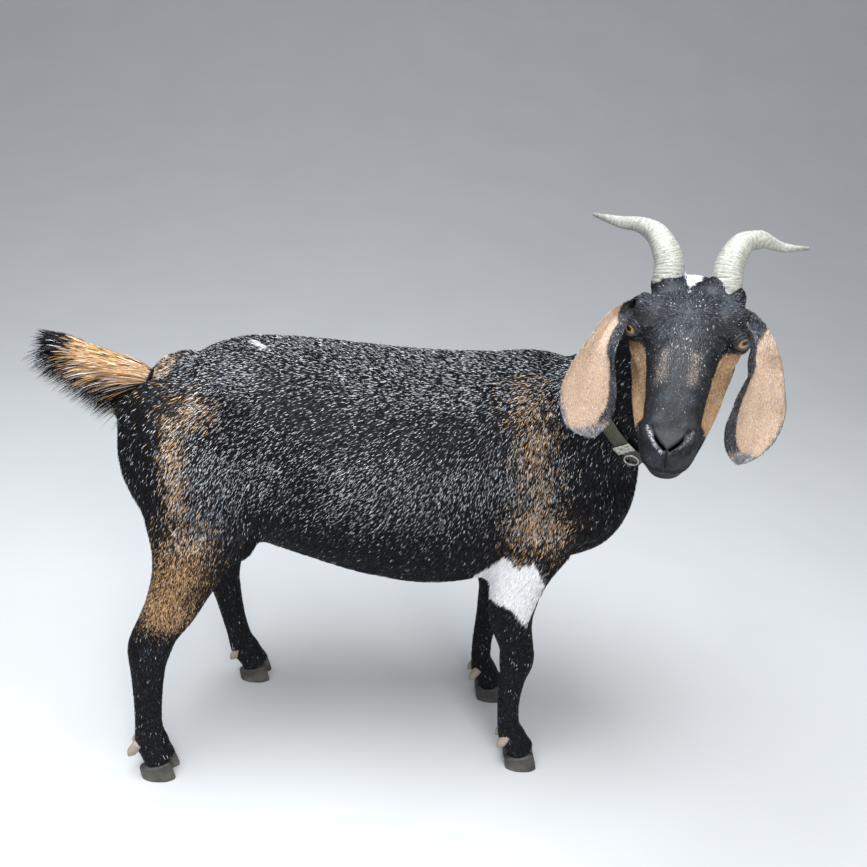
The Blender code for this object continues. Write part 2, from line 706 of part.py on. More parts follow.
def eye_frame(side):
    """Middle of an eye, the way it looks, and the ways along its lids and up."""
    aim = turned(EYE_AIM, SIDES[side]).normalized()
    level = Vector((0, 0, -1)).cross(aim).normalized() * SIDES[side]
    up = level.cross(aim) * -SIDES[side]
    along = level * math.cos(LID_TILT) - up * math.sin(LID_TILT)
    lift = up * math.cos(LID_TILT) + level * math.sin(LID_TILT)
    return in_head(EYES[side], SIDES[side]), aim, along, lift


def add_lids(head, cutters):
    """A closed lid over each eye."""
    for side in SIDES:
        centre, aim = eye_frame(side)[:2]
        lid = mass("lid", centre, (EYE_RADIUS + LID_THICKNESS,) * 3, aim, cutters)
        largest(boolean(head, lid, "UNION"))
        drop(lid)


def open_lids(head, side, cutters):
    """Open one eye's lids along an almond, and cut the socket behind them."""
    centre, aim, along, lift = eye_frame(side)
    opening = []
    for out in (0.2, 2.0):
        middle = centre + aim * EYE_RADIUS * out - lift * LID_DROP
        ring = []
        for step in range(LID_STEPS):
            angle = 2 * math.pi * step / LID_STEPS
            c, s = math.cos(angle), math.sin(angle)
            high = LID_OPENING[1] * s * (1 - 0.25 * c ** 2)
            ring.append(middle + along * LID_OPENING[0] * c + lift * high)
        opening.append(ring)
    almond = loft("almond", opening, cutters)
    largest(boolean(head, almond, "DIFFERENCE"))
    socket = mass("socket", centre, (EYE_RADIUS + GAP,) * 3, aim, cutters)
    largest(boolean(head, socket, "DIFFERENCE"))
    drop(almond, socket)


def carve_head(head, cutters):
    """The openings of the lids, the nostrils, and the line of the mouth."""
    for side, mirror in SIDES.items():
        open_lids(head, side, cutters)
        points = [in_head(point, mirror) for point in NOSTRIL]
        cutter = chain_cutter("nostril_cutter", points, NOSTRIL_RADII, turned((0.6, 0, 1)), cutters)
        largest(boolean(head, cutter, "DIFFERENCE"))
        drop(cutter)
    cutter = mouth_cutter(head, cutters)
    largest(boolean(head, cutter, "DIFFERENCE"))
    drop(cutter)


def horn(side, home):
    """A curved, tapering, ringed horn."""
    count = HORN_RINGS * 2 + 1
    line = [in_head(point, SIDES[side]) for point in HORN_LINES[side]]
    places = [Vector(row) for row in through(line, count)]
    radii = through([(r,) for r in HORN_RADII[side]], count)[:, 0]
    left = head_axes()[1]
    wide, thick = HORN_SECTION
    rings = []
    for i, place in enumerate(places):
        share = i / (count - 1)
        along = (places[min(i + 1, count - 1)] - places[max(i - 1, 0)]).normalized()
        across = (left - along * left.dot(along)).normalized()
        deep = along.cross(across)
        ridge = 1.0 + HORN_RIDGE * (1 - share) ** 0.5 * (1 if i % 2 else -1)
        half = radii[i] * ridge
        rings.append(ring_of(place, across, deep, half * wide, half * thick, half * thick,
                             HORN_SIDES, 1.0))
    return loft(f"horn_{side}", rings, home)


def ear(side, home):
    """A long hanging ear: a cupped sheet, rolled at the root and round at the tip."""
    line = through([row[0] for row in EARS[side]], EAR_ALONG)
    halves, cups = through([row[1:] for row in EARS[side]], EAR_ALONG).T
    facing = EAR_FACING[side].normalized()
    bm = bmesh.new()
    rows = []
    for i in range(EAR_ALONG):
        along = Vector(line[min(i + 1, EAR_ALONG - 1)] - line[max(i - 1, 0)]).normalized()
        out = (facing - along * facing.dot(along)).normalized()
        across = along.cross(out)
        row = []
        for j in range(EAR_ACROSS):
            v = 2 * j / (EAR_ACROSS - 1) - 1
            bow = cups[i] * halves[i] * v * v
            row.append(bm.verts.new(Vector(line[i]) + across * halves[i] * v + out * bow))
        rows.append(row)
    for lower, upper in zip(rows, rows[1:]):
        for j in range(EAR_ACROSS - 1):
            bm.faces.new((lower[j], lower[j + 1], upper[j + 1]))
            bm.faces.new((lower[j], upper[j + 1], upper[j]))
    made = mesh_object(f"ear_{side}", bm, home)
    shell = made.modifiers.new("thickness", "SOLIDIFY")
    shell.thickness = EAR_THICKNESS
    shell.offset = 0.0
    return bake(made)


def hoof_claw(name, foot, inner, home):
    """One claw: a flat sole, a sloping toe and a top that follows the coronet."""
    rings = []
    for share, long, wide in CLAW_LEVELS:
        ring = []
        for step in range(CLAW_STEPS):
            angle = 2 * math.pi * step / CLAW_STEPS
            c, s = math.cos(angle), math.sin(angle)
            x = CLAW_LENGTH / 2 * c * long - CLAW_LEAN * share
            width = CLAW_WIDTH / 2 * wide * (1.0 - 0.22 * max(c, 0.0) ** 2)
            y = width * math.copysign(abs(s) ** 0.8, s)
            top = CORONET_HEEL + (CORONET_TOE - CORONET_HEEL) * (c + 1) / 2
            ring.append(Vector((x, y, top * share)))
        rings.append(ring)
    claw = loft(name, rings, home)
    turn = Matrix.Rotation(CLAW_SPLAY * inner, 4, "Z")
    offset = Vector((0.0, (CLAW_WIDTH + CLAW_CLEFT) / 2 * inner, 0.0))
    claw.data.transform(Matrix.Translation(foot + offset) @ turn)
    return claw


def coronet_cutter(foot, home):
    """The room that a foot's two claws take under the coronet."""
    slope = math.atan2(CORONET_TOE - CORONET_HEEL, CLAW_LENGTH * 0.9)
    turn = Matrix.Rotation(-slope, 3, "Y")
    middle = (CORONET_TOE + CORONET_HEEL) / 2 + GAP
    deep = 0.05
    centre = foot + Vector((-CLAW_LEAN, 0.0, middle)) - turn @ Vector((0, 0, deep))
    axes = [turn @ Vector(row) for row in ((1, 0, 0), (0, 1, 0), (0, 0, 1))]
    return box("coronet", centre, axes, (0.08, 0.06, deep), home)


def dewclaw(name, leg, foot, inner, home, cutters):
    """A small horn cone behind the fetlock."""
    back = Vector((foot.x - DEWCLAW_SETBACK, foot.y + 0.013 * inner, DEWCLAW_HEIGHT))
    tip = back + Vector((-0.007, 0.002 * inner, -DEWCLAW_LENGTH * 0.55))
    top = back + Vector((0.010, 0.0, DEWCLAW_LENGTH * 0.5))
    line = (top, (top + tip) / 2, tip)
    cone = tube(name, line, DEWCLAW_SIZES, Vector((0, 1, 0)), 6, home, 1)
    return clear_of(cone, leg, cutters)


def lock(name, root, way, out, face, length, halves, droop, home):
    """A flat tapered lock of hair that faces a way and bends from its root to its tip."""
    across = way.cross(face).normalized()
    rings = []
    place = root - way * length * LOCK_BURIED
    for i in range(LOCK_RINGS + 1):
        share = i / LOCK_RINGS
        lie = (way - out * LOCK_BEND * share - Vector((0, 0, droop)) * share).normalized()
        thin = across.cross(lie).normalized()
        wide = halves[0] * (0.65 + 1.2 * share - 1.65 * share ** 2)
        thick = halves[1] * (1.0 - 0.80 * share)
        rings.append([place + across * wide, place + thin * thick,
                      place - across * wide, place - thin * thick])
        place = place + lie * length * (1 + LOCK_BURIED) / LOCK_RINGS
    return loft(name, rings, home)


def tail(torso, home, cutters):
    """The tail's flesh, and round it flat locks of hair that lie towards its tip."""
    core = tube("tail", TAIL_LINE, TAIL_SIZES, Vector((0, 1, 0)), 12, home, 2)
    hair = collection("tail_hair", hidden=True)
    draw = np.random.default_rng(7)
    places = [Vector(row) for row in through(TAIL_LINE, 41)]
    halves = through(TAIL_SIZES, 41)
    side = Vector((0, 1, 0))
    for row in range(TAIL_ROWS):
        share = (row + 0.45) / TAIL_ROWS
        for angle, droop, length in TAIL_ROUND:
            at = min(int(40 * share) + int(draw.integers(-2, 3)), 39)
            along = (places[at + 1] - places[at - 1]).normalized()
            up = side.cross(along).normalized()
            if up.z < 0:
                up = -up
            angle += draw.uniform(-0.2, 0.2)
            out = side * math.cos(angle) + up * math.sin(angle)
            root = places[at] + (side * math.cos(angle) * halves[at][1]
                                 + up * math.sin(angle) * halves[at][0]) * 0.45
            rise = TAIL_LOCK_RISE * draw.uniform(0.7, 1.3)
            way = (along + out * rise * (1.0 + droop)).normalized()
            face = out + side * math.copysign(2.2 * droop, out.y)
            length *= (1.0 - 0.25 * share) * draw.uniform(0.9, 1.1)
            lock("lock", root, way, out, face, length, TAIL_LOCK_SIZE, droop, hair)
    fuse = core.modifiers.new("fuse", "BOOLEAN")
    fuse.operand_type = "COLLECTION"
    fuse.collection = hair
    fuse.operation = "UNION"
    fuse.solver = "MANIFOLD"
    bake(core)
    drop(*hair.objects)
    bpy.data.collections.remove(hair)
    return clear_of(largest(core), torso, cutters, "MANIFOLD")


def hull(points):
    """The convex outline of points in a plane, counter-clockwise."""
    ordered = sorted(points)

    def half(row):
        kept = []
        for x, y in row:
            while len(kept) > 1 and ((kept[-1][0] - kept[-2][0]) * (y - kept[-2][1])
                                     <= (kept[-1][1] - kept[-2][1]) * (x - kept[-2][0])):
                kept.pop()
            kept.append((x, y))
        return kept[:-1]

    return half(ordered) + half(ordered[::-1])


def collar(neck, home, cutters):
    """A taut flat band round the neck, a keeper plate on it and a ring under that."""
    skin = surface(neck)
    along = COLLAR_WAY.normalized()
    side = (Vector((0, 1, 0)) - along * along.y).normalized()
    up = along.cross(side)
    reached = []
    for step in range(COLLAR_RAYS):
        angle = 2 * math.pi * step / COLLAR_RAYS
        way = side * math.cos(angle) + up * math.sin(angle)
        reach = []
        for lift in (-0.5, -0.25, 0.0, 0.25, 0.5):
            start = COLLAR_PLACE + along * COLLAR_WIDTH * lift + way * 0.3
            hit = skin.ray_cast(start, -way)[0]
            if hit:
                reach.append((hit - COLLAR_PLACE).dot(way))
        if reach:
            far = max(reach) + COLLAR_SLACK
            reached.append((far * math.cos(angle), far * math.sin(angle)))
    outline = hull(reached)

    def out_to(angle):
        """How far the taut outline lies from its middle at an angle."""
        c, s = math.cos(angle), math.sin(angle)
        for (ax, ay), (bx, by) in zip(outline, outline[1:] + outline[:1]):
            turn = (bx - ax) * s - (by - ay) * c
            if abs(turn) < 1e-12:
                continue
            share = (ay * c - ax * s) / turn
            far = (ax + (bx - ax) * share) * c + (ay + (by - ay) * share) * s
            if -1e-9 <= share <= 1 + 1e-9 and far > 0:
                return far
        return 0.1

    def place(angle, lift, far):
        way = side * math.cos(angle) + up * math.sin(angle)
        return COLLAR_PLACE + along * COLLAR_WIDTH * lift + way * (out_to(angle) + far)

    bm = bmesh.new()
    rows = []
    for step in range(COLLAR_STEPS):
        angle = 2 * math.pi * step / COLLAR_STEPS
        corners = ((-0.5, 0.0), (0.5, 0.0), (0.5, COLLAR_THICKNESS), (-0.5, COLLAR_THICKNESS))
        rows.append([bm.verts.new(place(angle, lift, far)) for lift, far in corners])
    for a, b in zip(rows, rows[1:] + rows[:1]):
        for i in range(4):
            j = (i + 1) % 4
            bm.faces.new((a[i], a[j], b[j], b[i]))
    band = clear_of(mesh_object("collar_band", bm, home), neck, cutters)

    toward = KEEPER_FACES - COLLAR_PLACE
    angle = math.atan2(toward.dot(up), toward.dot(side))
    length, width, thickness = KEEPER_SIZE
    way = side * math.cos(angle) + up * math.sin(angle)
    ahead = (place(angle + 0.05, 0, 0) - place(angle - 0.05, 0, 0)).normalized()
    out = along.cross(ahead)
    if out.dot(way) < 0:
        out = -out
    middle = place(angle, 0.0, COLLAR_THICKNESS + 2 * GAP) + out * thickness / 2
    keeper = box("collar_keeper", middle, (ahead, along, out),
                 (length / 2, width / 2, thickness / 2), home, 0.0007)

    down = ahead if ahead.z < 0 else -ahead
    centre = middle + down * (length / 2 + RING_RADIUS + RING_WIRE + GAP) + out * RING_LIFT
    ring = torus("collar_ring", centre, out, RING_RADIUS, RING_WIRE, home)
    return (band, "webbing"), (keeper, "keeper"), (ring, "ring_metal")


def torus(name, centre, axis, major, minor, home, rings=16, sides=6):
    """A closed wire ring round an axis."""
    bm = bmesh.new()
    turn = axis.normalized().to_track_quat("Z", "X").to_matrix()
    rows = []
    for i in range(rings):
        a = 2 * math.pi * i / rings
        row = []
        for j in range(sides):
            b = 2 * math.pi * j / sides
            reach = major + minor * math.cos(b)
            local = Vector((reach * math.cos(a), reach * math.sin(a), minor * math.sin(b)))
            row.append(bm.verts.new(centre + turn @ local))
        rows.append(row)
    for a, b in zip(rows, rows[1:] + rows[:1]):
        for j in range(sides):
            k = (j + 1) % sides
            bm.faces.new((a[j], a[k], b[k], b[j]))
    return mesh_object(name, bm, home)


def finish(thing, slot, smooth_angle=math.radians(50)):
    """Give a piece its material and shading, and move it to the part's frame."""
    thing.data.materials.clear()
    thing.data.materials.append(material(slot))
    thing.data.transform(Matrix.Translation(ORIGIN_SHIFT))
    thing.data.shade_smooth()
    thing.data.set_sharp_from_angle(angle=smooth_angle)


def part_flesh(flesh, home, cutters):
    """Part the fused flesh into the torso, the head, the neck and the legs."""
    left = head_axes()[1]
    forward = turned(HEAD_CUT_WAY).normalized()
    cutter = box("head_cutter", POLL + forward * (HEAD_CUT + HEAD_ROOM[0]),
                 (forward, left, forward.cross(left)), HEAD_ROOM, cutters)
    head = split(flesh, "head", cutter, cutters, home)
    along = COLLAR_WAY.normalized()
    across = (Vector((0, 1, 0)) - along * along.y).normalized()
    cutter = box("neck_cutter", COLLAR_PLACE + along * (NECK_ROOM[0] - NECK_CUT),
                 (along, across, along.cross(across)), NECK_ROOM, cutters)
    neck = split(flesh, "neck", cutter, cutters, home)
    legs = {}
    for name, (top, radii) in LEG_TOPS.items():
        cutter = leg_cutter("leg_cutter", top, FEET[name], radii, cutters)
        legs[name] = split(flesh, f"leg_{name}", cutter, cutters, home)
    return flesh, head, neck, legs


def dress_head(head, home, cutters):
    """Carve the head, and set its eyes, horns and ears on it."""
    add_lids(head, cutters)
    plain_head = copy_of(head, cutters)
    carve_head(head, cutters)
    pieces = [(head, "coat_black")]
    for side in SIDES:
        centre, aim = eye_frame(side)[:2]
        pieces.append((mass(f"eye_{side}", centre, (EYE_RADIUS,) * 3, aim, home), "eye"))
        pieces.append((clear_of(horn(side, home), plain_head, cutters), "horn"))
        pieces.append((clear_of(ear(side, home), plain_head, cutters), "coat_tan"))
    drop(plain_head)
    return pieces


def shoe_leg(name, leg, home, cutters):
    """Set two claws under a leg and two dewclaws behind it."""
    cutter = coronet_cutter(FEET[name], cutters)
    largest(boolean(leg, cutter, "DIFFERENCE"))
    drop(cutter)
    pieces = [(leg, "coat_black")]
    for side, inner in SIDES.items():
        claw = hoof_claw(f"hoof_{name}_{side}", FEET[name], inner, home)
        spur = dewclaw(f"dewclaw_{name}_{side}", leg, FEET[name], inner, home, cutters)
        pieces += [(claw, "hoof"), (spur, "dewclaw")]
    return pieces


def main():
    """Fuse the flesh, part it, set the rest on it, and finish each piece."""
    clear_scene()
    home = collection("nubian_goat")
    cutters = collection("cutters", hidden=True)
    bodies = torso_bodies(home) + leg_bodies(home) + neck_body(home) + head_bodies(home)
    flesh = fuse_flesh(bodies, home)
    thin_flesh(flesh)
    flesh.name = "torso"
    torso, head, neck, legs = part_flesh(flesh, home, cutters)
    pieces = [(torso, "coat_black"), (neck, "coat_black")]
    pieces += dress_head(head, home, cutters)
    for name, leg in legs.items():
        pieces += shoe_leg(name, leg, home, cutters)
    pieces.append((tail(torso, home, cutters), "coat_black"))
    pieces += collar(neck, home, cutters)
    for piece, slot in pieces:
        finish(piece, slot)


main()
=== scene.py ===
import math

import bmesh
import bpy
import numpy as np
from mathutils import Matrix, Vector
from mathutils.bvhtree import BVHTree


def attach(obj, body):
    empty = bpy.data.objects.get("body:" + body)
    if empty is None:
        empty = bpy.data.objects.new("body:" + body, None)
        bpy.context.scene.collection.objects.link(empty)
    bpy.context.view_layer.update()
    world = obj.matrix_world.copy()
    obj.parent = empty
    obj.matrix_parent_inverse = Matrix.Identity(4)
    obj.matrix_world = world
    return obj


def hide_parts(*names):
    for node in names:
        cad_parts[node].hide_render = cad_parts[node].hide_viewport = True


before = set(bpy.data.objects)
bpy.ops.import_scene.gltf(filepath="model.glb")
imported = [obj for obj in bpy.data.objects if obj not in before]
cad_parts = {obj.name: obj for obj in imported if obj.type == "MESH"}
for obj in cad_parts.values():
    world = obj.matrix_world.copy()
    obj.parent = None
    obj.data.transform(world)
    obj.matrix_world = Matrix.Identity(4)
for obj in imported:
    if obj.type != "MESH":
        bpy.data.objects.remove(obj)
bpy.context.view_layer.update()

# Every place below is in the goat's own frame, the one its solids are worked out in. A
# piece is moved by this when it is made, to the frame that all parts share.
SHIFT = np.array((0.007, 0.117, 0.0))

# The CAD pieces that one skin covers
FLESH = ("torso", "neck", "head", "leg_fore_right", "leg_fore_left", "leg_hind_right",
         "leg_hind_left")

# The head's own frame: its middle is the poll, and it is turned, tilted and rolled; and
# where it ends at the neck, as a direction of that frame and a place along it
POLL = np.array((0.367, -0.241, 0.937))
HEAD_YAW = math.radians(-111.6)
HEAD_TILT = math.radians(38.7)
HEAD_ROLL = math.radians(2.9)
HEAD_CUT_WAY = (0.743, 0.0, 0.669)
HEAD_CUT = -0.088

# The sides, and the sign of +Y on each
SIDES = {"right": -1.0, "left": 1.0}

# Eyes in the head's frame, with +Y to that eye's own side: the way the pupil looks, the
# middle of the lids' opening, its long way, and its half length and height
EYES = {"right": (0.0628, 0.0560, -0.0279), "left": (0.0644, 0.0563, -0.0291)}
EYE_RADIUS = 0.0150
EYE_LOOK = (0.42, 0.74, 0.52)
OPENING_MIDDLE = (0.57, 0.63, 0.52)
OPENING_WAY = (-0.62, 0.75, -0.25)
LID_OPENING = (0.0092, 0.0058)

# The middle lines of the horns in the head's frame, with +Y to that horn's own side, and
# their radii at the same places
HORN_LINES = {
    "right": ((0.006, 0.028, -0.042), (-0.008, 0.031, -0.024), (-0.024, 0.033, -0.008),
              (-0.038, 0.040, 0.002), (-0.057, 0.053, 0.006), (-0.074, 0.075, 0.002),
              (-0.093, 0.104, -0.015), (-0.116, 0.141, -0.029)),
    "left": ((0.006, 0.031, -0.042), (-0.007, 0.036, -0.024), (-0.025, 0.036, -0.008),
             (-0.041, 0.041, 0.001), (-0.058, 0.051, 0.002), (-0.067, 0.070, 0.000),
             (-0.077, 0.096, -0.021), (-0.088, 0.126, -0.031)),
}
HORN_RADII = {
    "right": (0.0170, 0.0218, 0.0208, 0.0186, 0.0148, 0.0090, 0.0066, 0.0022),
    "left": (0.0170, 0.0218, 0.0208, 0.0186, 0.0146, 0.0092, 0.0052, 0.0020),
}
# The radius of the filling under each horn's root
HORN_ROOT = 0.0195
# Round masses of the head under the fur at the horns' and the ears' roots: place, radius
MOUNDS = {
    "right": (((-0.008, 0.028, -0.027), 0.0245), ((0.012, 0.058, -0.052), 0.0175)),
    "left": (((0.004, 0.0415, -0.0290), 0.0218), ((0.008, 0.052, -0.055), 0.0150)),
}
# Steps along a horn and round it, and its wrinkles from root to tip
HORN_STEPS = 150
HORN_SIDES = 36
HORN_WRINKLES = 34
# How far its wrinkles, the lines between, its flat sides and its knobs stand out, as
# shares of its radius
WRINKLE_HEIGHT = 0.030
LINE_HEIGHT = 0.005
SIDE_HEIGHT = 0.018
KNOB_HEIGHT = 0.012
# A horn's width and depth, as shares of its radius
HORN_WIDE = 0.86
HORN_DEEP = 1.1

# The ears from root to tip: the middle, the half width, and how far it is cupped
EARS = {
    "right": (((0.325, -0.200, 0.891), 0.006, 0.90), ((0.300, -0.224, 0.889), 0.009, 0.90),
              ((0.278, -0.246, 0.877), 0.013, 0.80), ((0.265, -0.255, 0.852), 0.018, 0.60),
              ((0.260, -0.255, 0.830), 0.025, 0.45), ((0.258, -0.255, 0.799), 0.033, 0.35),
              ((0.260, -0.255, 0.768), 0.032, 0.30), ((0.265, -0.257, 0.749), 0.024, 0.25),
              ((0.271, -0.258, 0.733), 0.005, 0.20)),
    "left": (((0.427, -0.226, 0.896), 0.007, 0.90), ((0.438, -0.248, 0.887), 0.012, 0.90),
             ((0.449, -0.264, 0.869), 0.015, 0.80), ((0.453, -0.268, 0.850), 0.021, 0.65),
             ((0.459, -0.270, 0.830), 0.026, 0.50), ((0.459, -0.273, 0.799), 0.038, 0.36),
             ((0.460, -0.273, 0.773), 0.042, 0.28), ((0.460, -0.275, 0.746), 0.035, 0.25),
             ((0.460, -0.277, 0.728), 0.022, 0.20), ((0.460, -0.277, 0.715), 0.006, 0.20)),
}
# The way that the inside of each ear faces
EAR_FACING = {"right": (-0.25, -1.0, 0.25), "left": (0.20, -1.0, 0.25)}
EAR_THICKNESS = 0.0022
EAR_ALONG = 90
EAR_ACROSS = 44
# How far an ear's front edge rolls over, and the height of its veins and of its waves
EAR_ROLL = 0.04
EAR_VEINS = 0.0006
EAR_WAVES = 0.0016
# Hair of the ear, how much longer it is at the root, and how often it covers the skin
EAR_HAIR = 0.0036
EAR_HAIR_ROOT_MORE = 0.0016
COVER_EAR = 1.5

# The middle line of the tail
TAIL_LINE = ((-0.345, 0.000, 0.676), (-0.380, 0.000, 0.688), (-0.420, 0.004, 0.702),
             (-0.455, 0.009, 0.715), (-0.482, 0.013, 0.724))
# Half heights and half widths of the tail along that line
TAIL_SIZES = ((0.022, 0.018), (0.020, 0.017), (0.016, 0.014), (0.012, 0.011), (0.005, 0.005))

# The middle of each foot on the floor
FEET = {
    "fore_right": (0.294, -0.077, 0.0),
    "fore_left": (0.259, 0.098, 0.0),
    "hind_right": (-0.337, -0.115, 0.0),
    "hind_left": (-0.212, 0.137, 0.0),
}
# The claws: height at the toe and at the heel, length, width, the cleft between, the splay
CORONET_TOE = 0.034
CORONET_HEEL = 0.022
CLAW_LENGTH = 0.056
CLAW_WIDTH = 0.025
CLAW_CLEFT = 0.003
CLAW_SPLAY = math.radians(4)
# The claw from the floor up: shares of its height, of its length and of its width
CLAW_UP = (0, 0.03, 0.35, 1)
CLAW_LONG = (0.95, 1.0, 0.985, 0.90)
CLAW_WIDE = (0.93, 1.0, 0.97, 0.92)
# How far its toe narrows and its top leans back, its growth lines and its worn edge
CLAW_TOE = 0.22
CLAW_LEAN = 0.006
CLAW_LINES = 0.010
CLAW_CHIPS = 0.0006
# A dewclaw's place from its foot: behind, out and up; and its radius
DEWCLAW_BACK = 0.040
DEWCLAW_OUT = 0.013
DEWCLAW_UP = 0.062
DEWCLAW_RADIUS = 0.0084

# The collar: its middle, the way through it, its width and its thickness
COLLAR_PLACE = np.array((0.364, -0.065, 0.713))
COLLAR_WAY = np.array((0.567, -0.598, 0.567))
COLLAR_WIDTH = 0.024
COLLAR_THICKNESS = 0.0024

# The lie of the coat: places on one side of the body and the way that the hair lies there
BODY_LIE = (
    ((-0.360, 0.030, 0.660), (-0.60, 0.10, -0.80)), ((-0.250, 0.050, 0.730), (-0.95, 0.15, -0.20)),
    ((0.000, 0.050, 0.745), (-0.98, 0.12, -0.10)), ((0.200, 0.040, 0.745), (-0.97, 0.12, -0.15)),
    ((-0.300, 0.120, 0.580), (-0.35, 0.00, -0.95)), ((-0.150, 0.140, 0.600), (-0.66, 0.00, -0.75)),
    ((-0.080, 0.130, 0.690), (-0.88, 0.00, -0.45)), ((0.100, 0.130, 0.680), (-0.76, 0.00, -0.65)),
    ((0.050, 0.160, 0.560), (-0.58, 0.00, -0.81)), ((0.050, 0.120, 0.430), (-0.60, -0.10, -0.76)),
    ((0.000, 0.000, 0.380), (-1.00, 0.00, 0.00)), ((0.220, 0.120, 0.620), (-0.16, 0.00, -1.00)),
    ((0.260, 0.110, 0.500), (-0.20, 0.00, -0.98)), ((0.250, 0.100, 0.380), (-0.05, 0.00, -1.00)),
    ((0.240, 0.090, 0.200), (0.00, 0.00, -1.00)), ((0.260, 0.090, 0.050), (0.20, 0.00, -1.00)),
    ((0.400, 0.050, 0.600), (0.00, 0.20, -1.00)), ((0.400, 0.000, 0.450), (-0.50, 0.00, -0.85)),
    ((0.300, 0.000, 0.380), (-0.95, 0.00, -0.30)), ((-0.200, 0.130, 0.470), (-0.25, 0.00, -0.95)),
    ((-0.280, 0.140, 0.420), (-0.25, 0.00, -1.00)), ((-0.330, 0.120, 0.280), (-0.10, 0.00, -1.00)),
    ((-0.340, 0.120, 0.100), (0.00, 0.00, -1.00)), ((-0.385, 0.030, 0.580), (-0.10, 0.15, -1.00)),
    ((-0.300, 0.040, 0.460), (-0.20, 0.00, -1.00)),
)
NECK_LIE = (
    ((0.360, -0.060, 0.700), (-0.25, 0.50, -0.82)), ((0.385, -0.130, 0.800), (-0.12, 0.55, -0.80)),
    ((0.390, -0.190, 0.880), (0.05, 0.55, -0.80)),
)
# The same on the head, in the head's own frame
HEAD_LIE = (
    ((0.000, 0.000, -0.015), (-1.0, 0.0, 0.3)), ((0.000, 0.030, -0.010), (-1.0, 0.6, 0.2)),
    ((0.020, 0.040, -0.005), (-0.6, 1.0, 0.0)), ((0.050, 0.045, -0.005), (0.0, 1.0, -0.3)),
    ((0.035, 0.000, 0.004), (-1.0, 0.0, 0.0)), ((0.035, 0.020, 0.004), (-0.6, 1.0, 0.0)),
    ((0.075, 0.000, 0.008), (1.0, 0.0, 0.0)), ((0.075, 0.025, 0.004), (0.8, 0.9, 0.0)),
    ((0.120, 0.000, 0.005), (1.0, 0.0, -0.1)), ((0.100, 0.030, -0.020), (1.0, 0.3, -0.5)),
    ((0.170, 0.000, -0.008), (1.0, 0.0, -0.2)), ((0.170, 0.030, -0.040), (0.8, 0.0, -0.6)),
    ((0.100, 0.050, -0.060), (0.4, 0.0, -1.0)), ((0.050, 0.055, -0.080), (-0.4, 0.0, -1.0)),
    ((0.000, 0.050, -0.070), (-0.8, 0.1, -0.6)), ((0.050, 0.040, -0.130), (-0.8, 0.0, -0.3)),
    ((0.150, 0.020, -0.100), (-0.8, 0.0, -0.2)), ((0.210, 0.000, -0.090), (-0.5, 0.0, -1.0)),
    ((-0.030, 0.030, -0.050), (-1.0, 0.1, -0.3)), ((0.205, 0.020, -0.050), (0.5, 0.3, -0.8)),
)

# The camera, fitted to the feet, the back line, the horns and the muzzle of the photo
CAMERA_PLACE = np.array((-0.005, -1.178, 1.130))
CAMERA_RIGHT = np.array((0.9966, -0.0826, 0.0))
CAMERA_AHEAD = np.array((0.0757, 0.9126, -0.4019))
CAMERA_ROLL = math.radians(4.9)
CAMERA_FOCAL = 810.0 / 867.0


def unit(rows):
    """Rows of numbers as directions one metre long."""
    rows = np.asarray(rows, float)
    return rows / np.maximum(np.linalg.norm(rows, axis=-1, keepdims=True), 1e-12)


def ramp(value, low, high):
    """0 below low and 1 above high, with a soft step between."""
    t = np.clip((value - low) / (high - low), 0.0, 1.0)
    return t * t * (3.0 - 2.0 * t)


def spot(points, centre, size):
    """A soft patch round a centre."""
    return np.exp(-0.5 * (((points - np.array(centre)) / np.array(size)) ** 2).sum(1))


def folded(points):
    """Places with those of the right side put over to the left."""
    return np.stack([points[:, 0], np.abs(points[:, 1]), points[:, 2]], 1)


def ripple(points, fineness, seed):
    """A smooth wandering value between about -1 and 1, of a given fineness per metre."""
    draw = np.random.default_rng(seed)
    total = np.zeros(len(points))
    for octave in range(3):
        for _ in range(4):
            way = unit(draw.normal(size=3)) * fineness * (1.9 ** octave) * draw.uniform(0.7, 1.4)
            total += np.sin(points @ way * 2 * math.pi + draw.uniform(0, 6.3)) / (1.6 ** octave)
    return total / 4.2


def through(values, count):
    """Read a smooth curve through rows of numbers at evenly spaced places."""
    rows = np.array(values, dtype=float)
    last = len(rows) - 1
    padded = np.vstack([2 * rows[0] - rows[1], rows, 2 * rows[-1] - rows[-2]])
    place = np.linspace(0.0, last, count)
    start = np.minimum(place.astype(int), last - 1)
    t = (place - start)[:, None]
    a, b, c, d = (padded[start + k] for k in range(4))
    return 0.5 * (2 * b + (c - a) * t + (2 * a - 5 * b + 4 * c - d) * t ** 2
                  + (3 * b - a - 3 * c + d) * t ** 3)


def head_axes():
    """The ways to the nose, the goat's left and the brow, as rows."""
    ahead = Vector((math.cos(HEAD_YAW), math.sin(HEAD_YAW), 0.0))
    up = Vector((0.0, 0.0, 1.0))
    nose = ahead * math.cos(HEAD_TILT) - up * math.sin(HEAD_TILT)
    brow = ahead * math.sin(HEAD_TILT) + up * math.cos(HEAD_TILT)
    left = brow.cross(nose)
    turn = Matrix.Rotation(HEAD_ROLL, 3, ahead)
    return np.array([turn @ nose, turn @ left, turn @ brow])


AXES = head_axes()


def in_head(local, mirror=1.0):
    """A place of the head's frame in the goat's own; mirror -1 puts it on the other side."""
    local = np.array(local) * (1.0, mirror, 1.0)
    return POLL + local @ AXES


def to_head(points):
    """Places in the head's frame: towards the nose, the left and the brow."""
    return (points - POLL) @ AXES.T


def head_way(way, side):
    """A direction of the head's frame, for one of its sides, in world axes."""
    return unit((np.array(way) * (1.0, SIDES[side], 1.0)) @ AXES)


def eye_ways(side, look):
    """The way that an eye or its opening faces, the way along its lids, and the way up."""
    aim = head_way(look, side)
    along = head_way(OPENING_WAY, side)
    along = unit(along - aim * (along @ aim))
    return aim, along, np.cross(aim, along) * SIDES[side]


